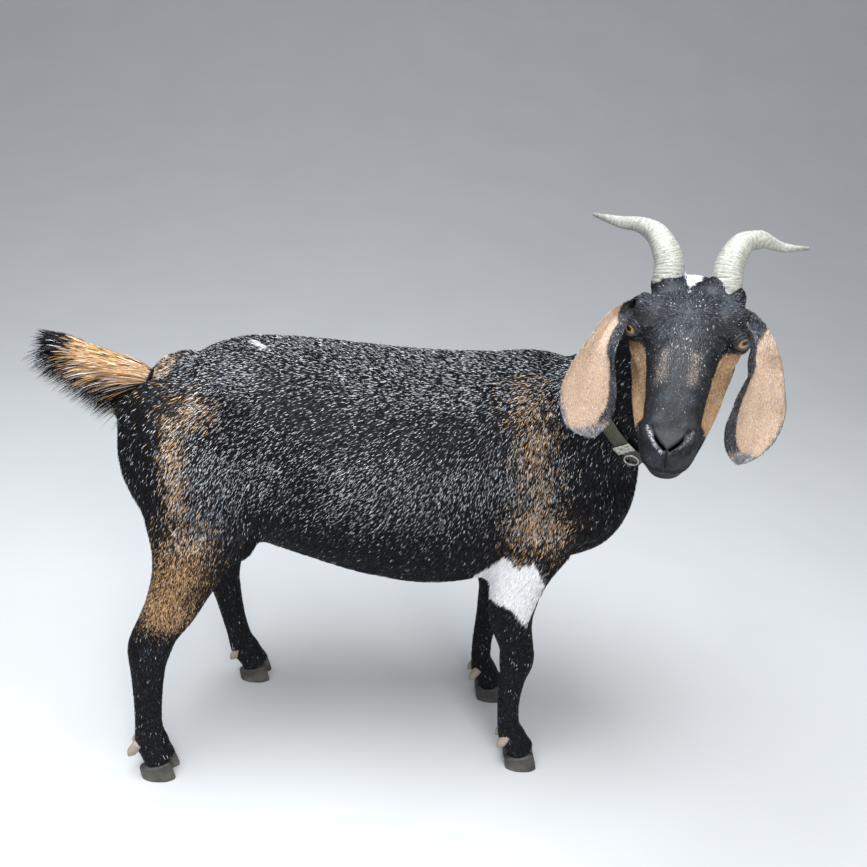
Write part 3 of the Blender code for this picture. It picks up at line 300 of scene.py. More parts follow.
def eye_frame(side):
    """Middle of an eye, and the way through its lids, along them and up."""
    return in_head(EYES[side], SIDES[side]), *eye_ways(side, OPENING_MIDDLE)


def on_head(points):
    """1 on the head and 0 on the neck and body."""
    way = unit(np.array(HEAD_CUT_WAY) @ AXES)
    inside = ramp((points - POLL) @ way - HEAD_CUT, -0.012, 0.012)
    return inside * ramp(points[:, 2], 0.712, 0.720) * ramp(points[:, 0], 0.17, 0.20)


def in_scene(name, data):
    """A new object with this data, linked into the scene."""
    made = bpy.data.objects.new(name, data)
    bpy.context.scene.collection.objects.link(made)
    return made


def round_angles(count):
    """Evenly spaced angles round a circle."""
    return 2 * math.pi * np.arange(count) / count


def hoops(line, across, deep, wide, high, angle):
    """Oval rings round the places of a line, wide one way and high the other."""
    return (line[:, None] + across[:, None] * (wide * np.cos(angle))[:, :, None]
            + deep[:, None] * (high * np.sin(angle))[:, :, None])


def solid_mesh(name, points, faces, smooth=True):
    """A mesh object from rows of points and rows of equally long faces."""
    mesh = bpy.data.meshes.new(name)
    count, sides = faces.shape
    mesh.vertices.add(len(points))
    mesh.vertices.foreach_set("co", (points + SHIFT).astype(np.float32).ravel())
    mesh.loops.add(count * sides)
    mesh.loops.foreach_set("vertex_index", faces.astype(np.int32).ravel())
    mesh.polygons.add(count)
    mesh.polygons.foreach_set("loop_start", np.arange(0, count * sides, sides, dtype=np.int32))
    mesh.update(calc_edges=True)
    if smooth:
        mesh.shade_smooth()
    return in_scene(name, mesh)


def keep_values(thing, name, values):
    """Store one row of numbers for each point, for the materials to read."""
    values = np.asarray(values, np.float32)
    kinds = {1: ("FLOAT", "value"), 3: ("FLOAT_VECTOR", "vector"), 4: ("FLOAT_COLOR", "color")}
    kind, field = kinds[1 if values.ndim == 1 else values.shape[1]]
    layer = thing.data.attributes.new(name, kind, "POINT")
    layer.data.foreach_set(field, values.ravel())


def loft(rings, close=True, caps=True):
    """Points and faces through rings of equally many points."""
    rings = np.asarray(rings)
    rows, count, _ = rings.shape
    points = rings.reshape(-1, 3)
    i, j = np.meshgrid(np.arange(rows - 1), np.arange(count if close else count - 1), indexing="ij")
    k = (j + 1) % count
    quads = np.stack([i * count + j, i * count + k, (i + 1) * count + k, (i + 1) * count + j], -1)
    faces = quads.reshape(-1, 4)
    faces = np.vstack([faces[:, (0, 1, 2)], faces[:, (0, 2, 3)]])
    if caps:
        ends = []
        for row, way in ((0, -1), (rows - 1, 1)):
            ring = row * count + np.arange(count)
            fan = [np.full(count, len(points)), ring, np.roll(ring, -1)]
            ends.append(np.stack([fan[0]] + fan[1:][::way], -1))
            points = np.vstack([points, rings[row].mean(0)])
        faces = np.vstack([faces] + ends)
    return points, faces


def facing_out(points, faces):
    """Turn the faces of a closed surface so that they all point out."""
    a, b, c = (points[faces[:, k]] for k in range(3))
    if np.einsum("ij,ij->i", a, np.cross(b, c)).sum() < 0:
        faces = faces[:, ::-1]
    return faces


def point_normals(points, faces):
    """The way out at each point, from the faces round it."""
    a, b, c = (points[faces[:, k]] for k in range(3))
    face_normals = np.cross(b - a, c - a)
    total = np.zeros_like(points)
    for k in range(3):
        for axis in range(3):
            total[:, axis] += np.bincount(faces[:, k], face_normals[:, axis], len(points))
    return unit(total)


def arrays_of(mesh):
    """The points, in the goat's own frame, and the triangles of a mesh."""
    mesh.calc_loop_triangles()
    points = np.empty(len(mesh.vertices) * 3, np.float32)
    mesh.vertices.foreach_get("co", points)
    faces = np.empty(len(mesh.loop_triangles) * 3, np.int32)
    mesh.loop_triangles.foreach_get("vertices", faces)
    return points.reshape(-1, 3).astype(float) - SHIFT, faces.reshape(-1, 3).astype(np.int64)


def cad_surface(name):
    """A CAD piece with its points joined and its faces turned out, to be worked on."""
    bm = bmesh.new()
    bm.from_mesh(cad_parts[name].data)
    bmesh.ops.remove_doubles(bm, verts=bm.verts, dist=1e-5)
    bmesh.ops.recalc_face_normals(bm, faces=bm.faces)
    return bm


def mesh_from(bm, name):
    """A new mesh with what was worked on, which is let go."""
    mesh = bpy.data.meshes.new(name)
    bm.to_mesh(mesh)
    bm.free()
    return mesh


def baked(thing):
    """What an object's modifiers make of it, as a mesh, and the object taken away."""
    graph = bpy.context.evaluated_depsgraph_get()
    mesh = bpy.data.meshes.new_from_object(thing.evaluated_get(graph))
    old = thing.data
    bpy.data.objects.remove(thing)
    bpy.data.meshes.remove(old)
    return mesh


# Skin

# Fineness of the fused surface, how far the solids are swollen so that they meet, and the
# faces kept before the finer splits round the nose and the eyes
SKIN_VOXEL = 0.0021
SKIN_OVERLAP = 0.0006
SKIN_FACES = 130000
# How far the eyes' fillings stand out over the eyeballs
EYE_FILLING = 0.0012
# How far the fused surface is softened: body, head, and the head once more off the eyes
SOFT_BODY = 0.62
SOFT_HEAD = 0.07
SOFT_AGAIN = 0.3
SOFT_ROUNDS = (60, 4)
# The two finer splits: how far along the nose each starts, and its reach round the eyes
FINER_FROM = ((0.170, 0.030), (0.193, 0.025))
# The softening after each split: its share and its rounds
SOFT_SPLIT = (0.5, 6)


def fused_flesh():
    """One closed surface over all the flesh, with the parting gaps, the eyes' sockets and
    the hollows under the horns filled."""
    bm = bmesh.new()
    for name in FLESH:
        piece = cad_surface(name)
        piece.normal_update()
        for vert in piece.verts:
            vert.co += vert.normal * SKIN_OVERLAP
        mesh = mesh_from(piece, "piece")
        bm.from_mesh(mesh)
        bpy.data.meshes.remove(mesh)
    for side, mirror in SIDES.items():
        for place, radius in ((EYES[side], EYE_RADIUS + EYE_FILLING),
                              (HORN_LINES[side][1], HORN_ROOT)) + MOUNDS[side]:
            at = Matrix.Translation(in_head(place, mirror) + SHIFT)
            bmesh.ops.create_icosphere(bm, subdivisions=4, radius=radius, matrix=at)
    flesh = in_scene("flesh", mesh_from(bm, "flesh"))
    remesh = flesh.modifiers.new("fuse", "REMESH")
    remesh.mode = "VOXEL"
    remesh.voxel_size = SKIN_VOXEL
    return baked(flesh)


def softened(points, edges, share, rounds):
    """Smooth points along their edges, each by its own share."""
    a, b = edges.T
    count = np.bincount(a, minlength=len(points)) + np.bincount(b, minlength=len(points))
    count = np.maximum(count, 1)
    share = share[:, None]
    for _ in range(rounds):
        mean = np.empty_like(points)
        for axis in range(3):
            mean[:, axis] = (np.bincount(a, points[b, axis], len(points))
                             + np.bincount(b, points[a, axis], len(points))) / count
        points = points + (mean - points) * share
    return points


# Lengths of the hair, and how much longer it is on the belly and the throat
BODY_HAIR = 0.0105
BELLY_HAIR_MORE = 0.0040
LEG_HAIR = 0.0066
BROW_HAIR = 0.0046
POLL_HAIR = 0.0078
THROAT_HAIR_MORE = 0.0030
# How far the skin lies under the coat's own outline, as a share of the hair's length
SKIN_DEPTH = 0.30


def hair_length(points):
    """Length of the hair at a place."""
    y, z = points[:, 1], points[:, 2]
    belly = ramp(0.43 - z, 0.0, 0.04) * ramp(0.11 - np.abs(y), 0.0, 0.04)
    legs = ramp(0.52 - z, 0.0, 0.10) * (ramp(np.abs(y), 0.10, 0.13) + ramp(0.40 - z, 0.0, 0.05))
    legs = np.clip(legs, 0, 1)
    length = (BODY_HAIR + BELLY_HAIR_MORE * belly) * (1 - legs)
    length += LEG_HAIR * legs * (1 - 0.25 * ramp(0.12 - z, 0.0, 0.06))
    head = on_head(points)
    s, _, brow = to_head(points).T
    face = BROW_HAIR - 0.0018 * ramp(s, 0.07, 0.18) - 0.0008 * ramp(s, 0.185, 0.205)
    face = np.maximum(face, POLL_HAIR * ramp(-s, -0.022, 0.015) * ramp(brow, -0.06, -0.02))
    face += THROAT_HAIR_MORE * ramp(-brow, 0.09, 0.13) * ramp(0.17 - s, 0.0, 0.05)
    for side, mirror in SIDES.items():
        face *= 1 - 0.45 * spot(points, in_head(EYES[side], mirror), (0.018,) * 3)
    return length * (1 - head) + face * head


# The muzzle's creases, in the head's frame with +Y to either side: nostril, the split of
# the upper lip, the mouth, and two folds under the eye; for each its depth and half width
NOSTRIL_LINE = ((0.2035, 0.0205, -0.0120), (0.2093, 0.0168, -0.0148), (0.2150, 0.0122, -0.0200),
                (0.2180, 0.0076, -0.0250), (0.2206, 0.0030, -0.0290))
SPLIT_LINE = ((0.2215, 0.0, -0.0300), (0.2260, 0.0, -0.0345), (0.2305, 0.0, -0.0410),
              (0.2335, 0.0, -0.0495))
MOUTH_LINE = ((0.2345, 0.0, -0.0520), (0.2325, 0.0100, -0.0525), (0.2270, 0.0195, -0.0545),
              (0.2120, 0.0280, -0.0600), (0.1920, 0.0340, -0.0660), (0.1720, 0.0370, -0.0705))
FOLD_LINES = (((0.0840, 0.0440, -0.0170), (0.0850, 0.0530, -0.0270), (0.0800, 0.0600, -0.0350)),
              ((0.0905, 0.0420, -0.0190), (0.0915, 0.0505, -0.0300), (0.0870, 0.0580, -0.0400)))
CREASES = ((NOSTRIL_LINE, 0.0058, 0.0020), (SPLIT_LINE, 0.0030, 0.0014),
           (MOUTH_LINE, 0.0046, 0.0018), (FOLD_LINES[0], 0.0011, 0.0016),
           (FOLD_LINES[1], 0.0008, 0.0016))
# Soft swellings and hollows of the face: place, size, height
SWELLS = (
    ((0.2240, 0.0095, -0.0430), 0.0075, 0.0034), ((0.2030, 0.0290, -0.0200), 0.0060, 0.0016),
    ((0.2185, 0.0185, -0.0260), 0.0055, 0.0014), ((0.2180, 0.0000, -0.0215), 0.0070, 0.0024),
    ((0.2240, 0.0000, -0.0700), 0.0110, 0.0018), ((0.0640, 0.0480, -0.0040), 0.0085, -0.0024),
    ((0.0480, 0.0530, -0.0100), 0.0080, 0.0012), ((0.1000, 0.0440, -0.0520), 0.0120, 0.0014),
)


# What a crease raises beside it: share of its depth, place and width in its own half widths
BESIDE = (0.16, 2.4, 1.2)
# The part of the head that is carved: in front of this, and above this
CARVED_FROM = 0.02
CARVED_ABOVE = -0.11


def to_line(local, line, count=40):
    """How far each place of the head is from a line that both its sides have."""
    line = through(line, count)
    local = folded(local)
    nearest = np.full(len(local), 1.0)
    for a, b in zip(line, line[1:]):
        step = b - a
        t = np.clip((local - a) @ step / (step @ step), 0, 1)
        gap = np.linalg.norm(local - a - t[:, None] * step, axis=1)
        nearest = np.minimum(nearest, gap)
    return nearest


def carve_face(points, faces):
    """Press the creases into the head's skin, and raise its lips and folds; gives the new
    points and how far each was pressed in."""
    local = to_head(points)
    carved = (local[:, 0] > CARVED_FROM) & (local[:, 2] > CARVED_ABOVE)
    near = np.nonzero((on_head(points) > 0.5) & carved)[0]
    normals = point_normals(points, faces)[near]
    place = local[near]
    move = np.zeros(len(near))
    for centre, size, height in SWELLS:
        for side in SIDES.values():
            swell = height * spot(place, np.array(centre) * (1, side, 1), (size,) * 3)
            move += swell / 2 if centre[1] == 0 else swell
    sunk = np.zeros(len(points))
    for line, depth, half in CREASES:
        gap = to_line(place, line)
        press = depth * np.exp(-(gap / half) ** 2)
        sunk[near] = np.maximum(sunk[near], press)
        move -= press
        share, away, wide = BESIDE
        move += share * depth * np.exp(-((gap - away * half) / (wide * half)) ** 2)
    points = points.copy()
    points[near] += normals * move[:, None]
    return points, sunk


# The lids' skin: its height over the eye, the least height of the skin round it, how deep
# it turns in under the opening, and its folds: reach, depth and half width
LID_HEIGHT = 0.0014
LEAST_OVER_EYE = 0.0010
LID_TURNED_IN = 0.84
LID_FOLDS = ((1.60, 0.0007, 0.12), (2.05, 0.0005, 0.14))
# How far from the eye's middle the skin is drawn over it, and where the lids end and open
LIDS_WITHIN = 0.034
LIDS_END = (1.5, 2.3)
LIDS_OPEN = (0.90, 1.10)


# The reach that places behind the eye are given, which is out of all ranges
BEHIND_EYE = 9.0


def lid_reach(points, side):
    """How far places are out from the middle of an eye's opening, with 1 on its edge, the
    ways to them from the eye's own middle, and their distances."""
    centre, aim, along, lift = eye_frame(side)
    away = points - centre
    far = np.linalg.norm(away, axis=1)
    way = away / far[:, None]
    wide = (way @ along) * EYE_RADIUS / LID_OPENING[0]
    high = (way @ lift) * EYE_RADIUS / (LID_OPENING[1] * (1 - 0.25 * np.clip(wide, -1, 1) ** 2))
    ahead = way @ aim > 0.15
    return np.where(ahead, np.hypot(wide, high), BEHIND_EYE), way, far


def shape_lids(points, side):
    """Draw the skin round an eye over it as lids, with folds, and open it between them."""
    centre = eye_frame(side)[0]
    reach, way, far = lid_reach(points, side)
    near = np.nonzero((far < LIDS_WITHIN) & (reach < BEHIND_EYE))[0]
    reach, way = reach[near], way[near]
    over = np.full(len(near), EYE_RADIUS + LID_HEIGHT)
    for place, depth, half in LID_FOLDS:
        over -= depth * np.exp(-((reach - place) / half) ** 2)
        over += 0.6 * depth * np.exp(-((reach - place - 2.0 * half) / half) ** 2)
    skin = ramp(reach, *LIDS_END)
    over = over * (1 - skin) + np.maximum(far[near], EYE_RADIUS + LEAST_OVER_EYE) * skin
    shut = ramp(reach, *LIDS_OPEN)
    over = over * shut + LID_TURNED_IN * EYE_RADIUS * (1 - shut)
    points = points.copy()
    points[near] = centre + way * over[:, None]
    return points


def split_finer(points, faces, chosen):
    """Split each chosen triangle in four, and its neighbours where they meet it."""
    keys = np.sort(np.stack([faces, np.roll(faces, -1, 1)], 2), 2)
    cut = keys[chosen].reshape(-1, 2)
    cut = np.unique(cut, axis=0)
    code = cut[:, 0] * len(points) + cut[:, 1]
    middle = (points[cut[:, 0]] + points[cut[:, 1]]) / 2
    all_code = keys[:, :, 0] * len(points) + keys[:, :, 1]
    spot_of = np.searchsorted(code, all_code)
    spot_of = np.minimum(spot_of, len(code) - 1)
    has = code[spot_of] == all_code
    mid = np.where(has, spot_of + len(points), -1)
    made = [faces[~has.any(1)]]
    for turn in range(3):
        f, m, h = np.roll(faces, -turn, 1), np.roll(mid, -turn, 1), np.roll(has, -turn, 1)
        one = h[:, 0] & ~h[:, 1] & ~h[:, 2]
        made.append(np.stack([f[one, 0], m[one, 0], f[one, 2]], 1))
        made.append(np.stack([m[one, 0], f[one, 1], f[one, 2]], 1))
        two = h[:, 0] & h[:, 1] & ~h[:, 2]
        made.append(np.stack([m[two, 0], f[two, 1], m[two, 1]], 1))
        made.append(np.stack([f[two, 0], m[two, 0], m[two, 1]], 1))
        made.append(np.stack([f[two, 0], m[two, 1], f[two, 2]], 1))
    full = has.all(1)
    f, m = faces[full], mid[full]
    for k in range(3):
        made.append(np.stack([f[:, k], m[:, k], m[:, (k + 2) % 3]], 1))
    made.append(m)
    return np.vstack([points, middle]), np.vstack(made)


def edges_of(faces):
    """Each edge of a surface once."""
    both = np.sort(np.vstack([faces[:, (0, 1)], faces[:, (1, 2)], faces[:, (2, 0)]]), 1)
    return np.unique(both, axis=0)


def smooth_flesh(mesh):
    """The fused surface softened and thinned, as points and triangles."""
    points, _ = arrays_of(mesh)
    edges = np.empty(len(mesh.edges) * 2, np.int32)
    mesh.edges.foreach_get("vertices", edges)
    edges = edges.reshape(-1, 2)
    head = on_head(points)
    legs = ramp(0.40 - points[:, 2], 0.0, 0.08)
    share = SOFT_BODY * (1 - head) * (1 - 0.62 * legs) + SOFT_HEAD * head
    points = softened(points, edges, share, SOFT_ROUNDS[0])
    near_eye = np.zeros(len(points))
    for side, mirror in SIDES.items():
        near_eye += spot(points, in_head(EYES[side], mirror), (0.02,) * 3)
    share = SOFT_AGAIN * head * (1 - np.clip(near_eye, 0, 1))
    points = softened(points, edges, share, SOFT_ROUNDS[1])
    mesh.vertices.foreach_set("co", (points + SHIFT).astype(np.float32).ravel())
    mesh.update()
    thing = in_scene("skin_shape", mesh)
    group = thing.vertex_groups.new(name="body")
    group.add(np.nonzero(head < 0.5)[0].tolist(), 1.0, "REPLACE")
    thin = thing.modifiers.new("thin", "DECIMATE")
    thin.ratio = SKIN_FACES / (2.0 * len(points))
    thin.vertex_group = "body"
    mesh = baked(thing)
    points, faces = arrays_of(mesh)
    bpy.data.meshes.remove(mesh)
    return points, faces


def skin_arrays():
    """Points and triangles of the skin, set in by the coat's depth and carved, and how far
    each point was pressed in by the face's creases."""
    points, faces = smooth_flesh(fused_flesh())
    normals = point_normals(points, faces)
    points = points - normals * (SKIN_DEPTH * hair_length(points))[:, None]
    for reach, round_eye in FINER_FROM:
        middle = points[faces].mean(1)
        s, left, brow = to_head(middle).T
        chosen = (s > reach) & (np.abs(left) < 0.06) & (np.abs(brow + 0.05) < 0.08)
        for side in SIDES:
            centre, aim = eye_frame(side)[:2]
            away = np.linalg.norm(middle - centre - aim * 0.010, axis=1)
            chosen |= away < round_eye
        points, faces = split_finer(points, faces, chosen)
        split = ramp(to_head(points)[:, 0], reach, reach + 0.006) * on_head(points)
        points = softened(points, edges_of(faces), SOFT_SPLIT[0] * split, SOFT_SPLIT[1])
    points, sunk = carve_face(points, faces)
    for side in SIDES:
        points = shape_lids(points, side)
    return points, faces, sunk


# Markings: for each place the shares of tan, white and grey hair

# The outline of the white patch on the right foreleg, along and up
PATCH = ((0.212, 0.462), (0.236, 0.440), (0.260, 0.452), (0.285, 0.404), (0.262, 0.330),
         (0.232, 0.366), (0.172, 0.376), (0.172, 0.420))
# Tan on the right side: middle, size along and up, strength
TAN_RIGHT = (
    ((0.222, 0.705), (0.020, 0.032), 0.42), ((0.238, 0.640), (0.022, 0.052), 0.46),
    ((0.254, 0.580), (0.018, 0.040), 0.40), ((0.246, 0.510), (0.026, 0.036), 0.58),
    ((0.285, 0.500), (0.022, 0.030), 0.40), ((-0.262, 0.672), (0.024, 0.016), 0.50),
    ((-0.287, 0.610), (0.012, 0.052), 0.60), ((-0.283, 0.540), (0.014, 0.030), 0.48),
    ((-0.272, 0.470), (0.026, 0.030), 0.58), ((-0.288, 0.420), (0.030, 0.034), 0.82),
    ((-0.306, 0.360), (0.028, 0.040), 1.20),
)
TAN_LEFT = (
    ((0.225, 0.660), (0.022, 0.060), 0.42), ((0.240, 0.520), (0.030, 0.050), 0.56),
    ((-0.262, 0.640), (0.018, 0.060), 0.60), ((-0.215, 0.450), (0.028, 0.040), 0.85),
    ((-0.235, 0.370), (0.026, 0.045), 1.10),
)


def inside_outline(x, z, corners):
    """How far a place is inside an outline, in metres; less than 0 outside it."""
    corners = np.array(corners)
    inside = np.zeros(len(x), bool)
    nearest = np.full(len(x), 1.0)
    for (ax, az), (bx, bz) in zip(corners, np.roll(corners, -1, 0)):
        crosses = (az > z) != (bz > z)
        at = ax + (z - az) * (bx - ax) / (bz - az if bz != az else 1e-9)
        inside ^= crosses & (x < at)
        t = np.clip(((x - ax) * (bx - ax) + (z - az) * (bz - az))
                    / ((bx - ax) ** 2 + (bz - az) ** 2), 0, 1)
        nearest = np.minimum(nearest, np.hypot(x - ax - t * (bx - ax), z - az - t * (bz - az)))
    return np.where(inside, nearest, -nearest)


# How strong the tan is for its tables' strengths, and the most that it covers
TAN_STRENGTH = 0.60
TAN_MOST = 0.52
# Where the tail's tan runs up onto the rump, and how strongly: place, size, share
TAIL_TAN = ((-0.338, 0.022, 0.688), (0.024, 0.045, 0.020), 0.42)
# The white streak on the rump: its middle, the way across it, its half length and width
RUMP_STREAK = (-0.174, -0.017)
RUMP_ACROSS = (0.80, 0.60)
RUMP_HALVES = (0.024, 0.005)
# The white fleck on the belly and the grey place on the haunch: place, size
BELLY_FLECK = ((0.027, -0.106, 0.406), (0.016, 0.016, 0.010))
HAUNCH_GREY = ((-0.245, -0.13, 0.505), (0.022, 0.05, 0.022))


def body_marks(points):
    """Shares of tan, white and grey hair on the body."""
    x, y, z = points.T
    wander = ripple(points, 12.0, 3)
    fine = ripple(points, 70.0, 5)
    tan = np.zeros(len(points))
    for table, side in ((TAN_RIGHT, y < 0), (TAN_LEFT, y >= 0)):
        for middle, size, strength in table:
            tan = np.maximum(tan, strength * spot(points[:, (0, 2)], middle, size) * side)
    tan *= ramp(np.abs(y), 0.035, 0.075) * ramp(z, 0.285, 0.335)
    tan = np.clip(TAN_STRENGTH * tan * (1.0 + 0.22 * wander + 0.30 * fine), 0, TAN_MOST)
    tan = np.maximum(tan, TAIL_TAN[2] * spot(points, *TAIL_TAN[:2]))
    ragged = 0.0028 * ripple(points, 90.0, 11)
    within = inside_outline(x, z, PATCH)
    white = ramp(within + ragged, -0.0015, 0.0015) * (y < -0.070) * (x > 0)
    tan *= 1 - white
    away_x, away_y = x - RUMP_STREAK[0], y - RUMP_STREAK[1]
    across = np.abs(away_x * RUMP_ACROSS[0] + away_y * RUMP_ACROSS[1])
    along = np.abs(away_y * RUMP_ACROSS[0] - away_x * RUMP_ACROSS[1])
    fleck = ramp(RUMP_HALVES[0] - along, 0.0, 0.010)
    fleck *= ramp(RUMP_HALVES[1] + 0.002 * fine - across, 0.0, 0.003)
    white = np.maximum(white, 0.9 * fleck * (z > 0.70))
    fleck = spot(points, *BELLY_FLECK)
    white = np.maximum(white, ramp(fleck + 0.18 * fine, 0.60, 0.75))
    grey = 0.30 * spot(points, *HAUNCH_GREY)
    return tan, np.clip(white, 0, 1), np.clip(grey + 0.02 + 0.02 * wander, 0, 1)


# How much of the dark coat the fine pale hairs cover, which are partly real pale hairs and
# partly painted sheen: on the flank, more on the back where it faces up, in the tan, and at
# least on the upper body and anywhere
TICKS_FLANK = 0.142
TICKS_BACK_SHEEN = 0.02
TICKS_TAN = 0.20
TICKS_UPPER = 0.018
TICKS_LEAST = 0.003
# How much fewer there are in the band under the back, and in the dark places
BAND_FEWER = 0.50
DARK_FEWER = 0.6
# Darker places of the flank: middle and size
DARK_FLANK = (((-0.101, 0.116, 0.695), (0.036, 0.05, 0.020)),
              ((-0.100, 0.150, 0.565), (0.022, 0.05, 0.028)))


def ticks_and_sheen(points, normals):
    """How much of the dark coat is covered by fine pale hairs: partly real pale hairs, partly
    painted sheen that grows where the skin faces up and thins where it faces down.
    """
    x, _, z = points.T
    wander = ripple(points, 9.0, 13)
    flank = ramp(z, 0.46, 0.60) * ramp(x, -0.34, -0.26) * (1 - ramp(x, 0.26, 0.33))
    # painted sheen: fewer pale hairs on the flank where the skin faces down
    share = TICKS_FLANK * flank * ramp(normals[:, 2], -0.45, 0.05)
    share *= 1 - BAND_FEWER * ramp(z, 0.60, 0.65) * ramp(0.71 - z, 0.0, 0.03)
    for place, size in DARK_FLANK:
        share *= 1 - DARK_FEWER * spot(folded(points), place, size)
    # painted sheen: more pale hairs on the back where the skin faces up
    share += TICKS_BACK_SHEEN * ramp(normals[:, 2], 0.45, 0.90) * ramp(z, 0.66, 0.72)
    share = np.maximum(share, TICKS_UPPER * ramp(z, 0.50, 0.60))
    share = np.maximum(share, TICKS_LEAST)
    tan = body_marks(points)[0]
    share = np.maximum(share, TICKS_TAN * ramp(tan, 0.10, 0.30) * ramp(z, 0.44, 0.50))
    share *= 1.0 + 0.35 * wander
    return np.clip(share, 0, 0.5) * (1 - on_head(points))


# The tan stripe of the cheek: places along the head, its upper edge there, and its foot
STRIPE_ALONG = (0.070, 0.076, 0.090, 0.120, 0.150, 0.158, 0.165, 0.176)
STRIPE_TOP = (-0.046, -0.034, -0.022, -0.024, -0.031, -0.038, -0.062, -0.082)
STRIPE_FOOT = -0.090
# The white patch of the poll: places along the head, and its half width there
POLL_ALONG = (-0.045, -0.020, 0.003, 0.018)
POLL_WHITE = (0.0140, 0.0115, 0.0014, 0.0)
# The two tan marks on the bridge of the nose: their middles, half width, and shares of hair
BRIDGE_MIDDLES = (-0.0190, 0.0150)
BRIDGE_HALF = 0.0044
BRIDGE_TAN = 0.12
BRIDGE_WHITE = 0.07
# White hairs on the brow between them: middle and size along and across, share
BROW_WHITE = ((0.104, 0.003), (0.018, 0.012), 0.040)
# Shares of grey hair on the face: painted sheen over the brow, and the least; then place,
# size and share of the painted sheen over the eyes, of the painted shade above them, which
# takes the grey away, and of the painted sheen on the lip
FACE_SHEEN = 0.11
LEAST_GREY = 0.035
TEMPLE_SHEEN = ((0.030, 0.052, -0.010), (0.016, 0.014, 0.014), 0.14)
ABOVE_EYE_SHADE = ((0.060, 0.044, -0.006), (0.013, 0.011, 0.012), 0.9)
LIP_SHEEN = ((0.222, 0.012, -0.044), (0.010, 0.009, 0.008), 0.22)
# Dust round the nostrils: where it starts and ends, out from them, and how much there is
# on the left side for the right's
DUST_INNER = (0.0022, 0.0032)
DUST_OUTER = (0.0044, 0.0068)
LEFT_DUST = 0.25


def head_marks(points):
    """Shares of tan, white and grey hair on the head; the grey is painted sheen over the brow,
    the temples and the lip, taken away by painted shade above the eyes, and dust round the
    nostrils.
    """
    local = to_head(points)
    s, left, brow = local.T
    side = np.abs(left)
    fine = ripple(points, 130.0, 21)
    wander = ripple(points, 45.0, 23)
    top = np.interp(s, STRIPE_ALONG, STRIPE_TOP)
    stripe = ramp(top - brow + 0.0012 * wander, -0.0020, 0.0035)
    stripe *= ramp(brow - STRIPE_FOOT - 0.002 * wander, -0.004, 0.004)
    stripe *= ramp(s + 0.001 * wander, 0.069, 0.077) * (1 - ramp(s, 0.172, 0.179)) * (side > 0.015)
    tan = stripe * (0.72 + 0.28 * ripple(points, 230.0, 25))
    middle = np.where(left > 0, BRIDGE_MIDDLES[1], BRIDGE_MIDDLES[0])
    bridge = np.exp(-0.5 * ((left - middle) / BRIDGE_HALF) ** 2)
    bridge *= ramp(s + 0.002 * wander, 0.104, 0.114) * (1 - ramp(s, 0.142, 0.156)) * (brow > -0.03)
    tan = np.maximum(tan, BRIDGE_TAN * bridge)
    white = BROW_WHITE[2] * spot(local[:, :2], *BROW_WHITE[:2])
    white = np.maximum(white, BRIDGE_WHITE * bridge) * (brow > -0.03) + 0.004 + 0.05 * stripe
    half = np.interp(s, POLL_ALONG, POLL_WHITE)
    poll = ramp(half - np.abs(left + 0.004) + 0.0030 * fine, -0.0008, 0.0008)
    white = np.maximum(white, poll * (s < 0.020) * (brow > -0.05))
    # painted sheen: grey hair over the upper brow, less on the bridge
    grey = FACE_SHEEN * ramp(brow, -0.02, 0.0) * ramp(0.20 - s, 0.0, 0.03)
    grey *= 1 - 0.45 * ramp(s, 0.075, 0.10) * ramp(0.165 - s, 0.0, 0.02)
    grey += LEAST_GREY + 0.05 * wander
    either = folded(local)
    # painted sheen: grey hair over and behind the eyes
    grey += TEMPLE_SHEEN[2] * spot(either, *TEMPLE_SHEEN[:2])
    # painted shade: less grey sheen in the hollow above each eye
    grey *= 1 - ABOVE_EYE_SHADE[2] * spot(either, *ABOVE_EYE_SHADE[:2])
    # painted sheen: grey hair on the lip under the nose
    grey = np.maximum(grey, LIP_SHEEN[2] * spot(either, *LIP_SHEEN[:2]))
    gap = to_line(local, NOSTRIL_LINE)
    outer = ramp(side - np.interp(s, (0.200, 0.221), (0.021, 0.003)), 0.0008, 0.0020)
    dust = outer * ramp(gap, *DUST_INNER) * (1 - ramp(gap, *DUST_OUTER))
    dust *= ramp(s, 0.199, 0.206)
    dust *= np.where(left < 0, 1.0, LEFT_DUST * ramp(side, 0.009, 0.012))
    dust *= ramp(ripple(points, 300.0, 27) + 0.5 * fine, -0.45, 0.30)
    grey = np.maximum(grey, dust * (0.75 + 0.35 * fine))
    white = np.maximum(white, 0.60 * dust * (0.7 + 0.5 * fine))
    return np.clip(tan, 0, 1), np.clip(white, 0, 1), np.clip(grey, 0, 1)


def marks_of(points):
    """Shares of tan, white and grey hair on the head and the body."""
    head = on_head(points)[:, None]
    body = np.stack(body_marks(points), 1)
    face = np.stack(head_marks(points), 1)
    return body * (1 - head) + face * head


# The lie of the coat, and the unwrap that its bake patches are placed by

# How far each place of the lie's tables reaches, and the neck's weight over the body's
LIE_REACH = {"body": 0.09, "neck": 0.06, "head": 0.018}
NECK_WEIGHT = 3.0


def lie_from(points, table, reach, least):
    """Directions read from a table of places, which holds for both sides."""
    total = np.zeros_like(points)
    for place, way in table:
        for mirror in ((1, 1, 1), (1, -1, 1)):
            gap = ((points - np.array(place) * mirror) ** 2).sum(1)
            weight = np.exp(-gap / (2 * reach ** 2)) + 1e-9 / (gap + least)
            total += weight[:, None] * unit(np.array(way) * mirror)
    return total


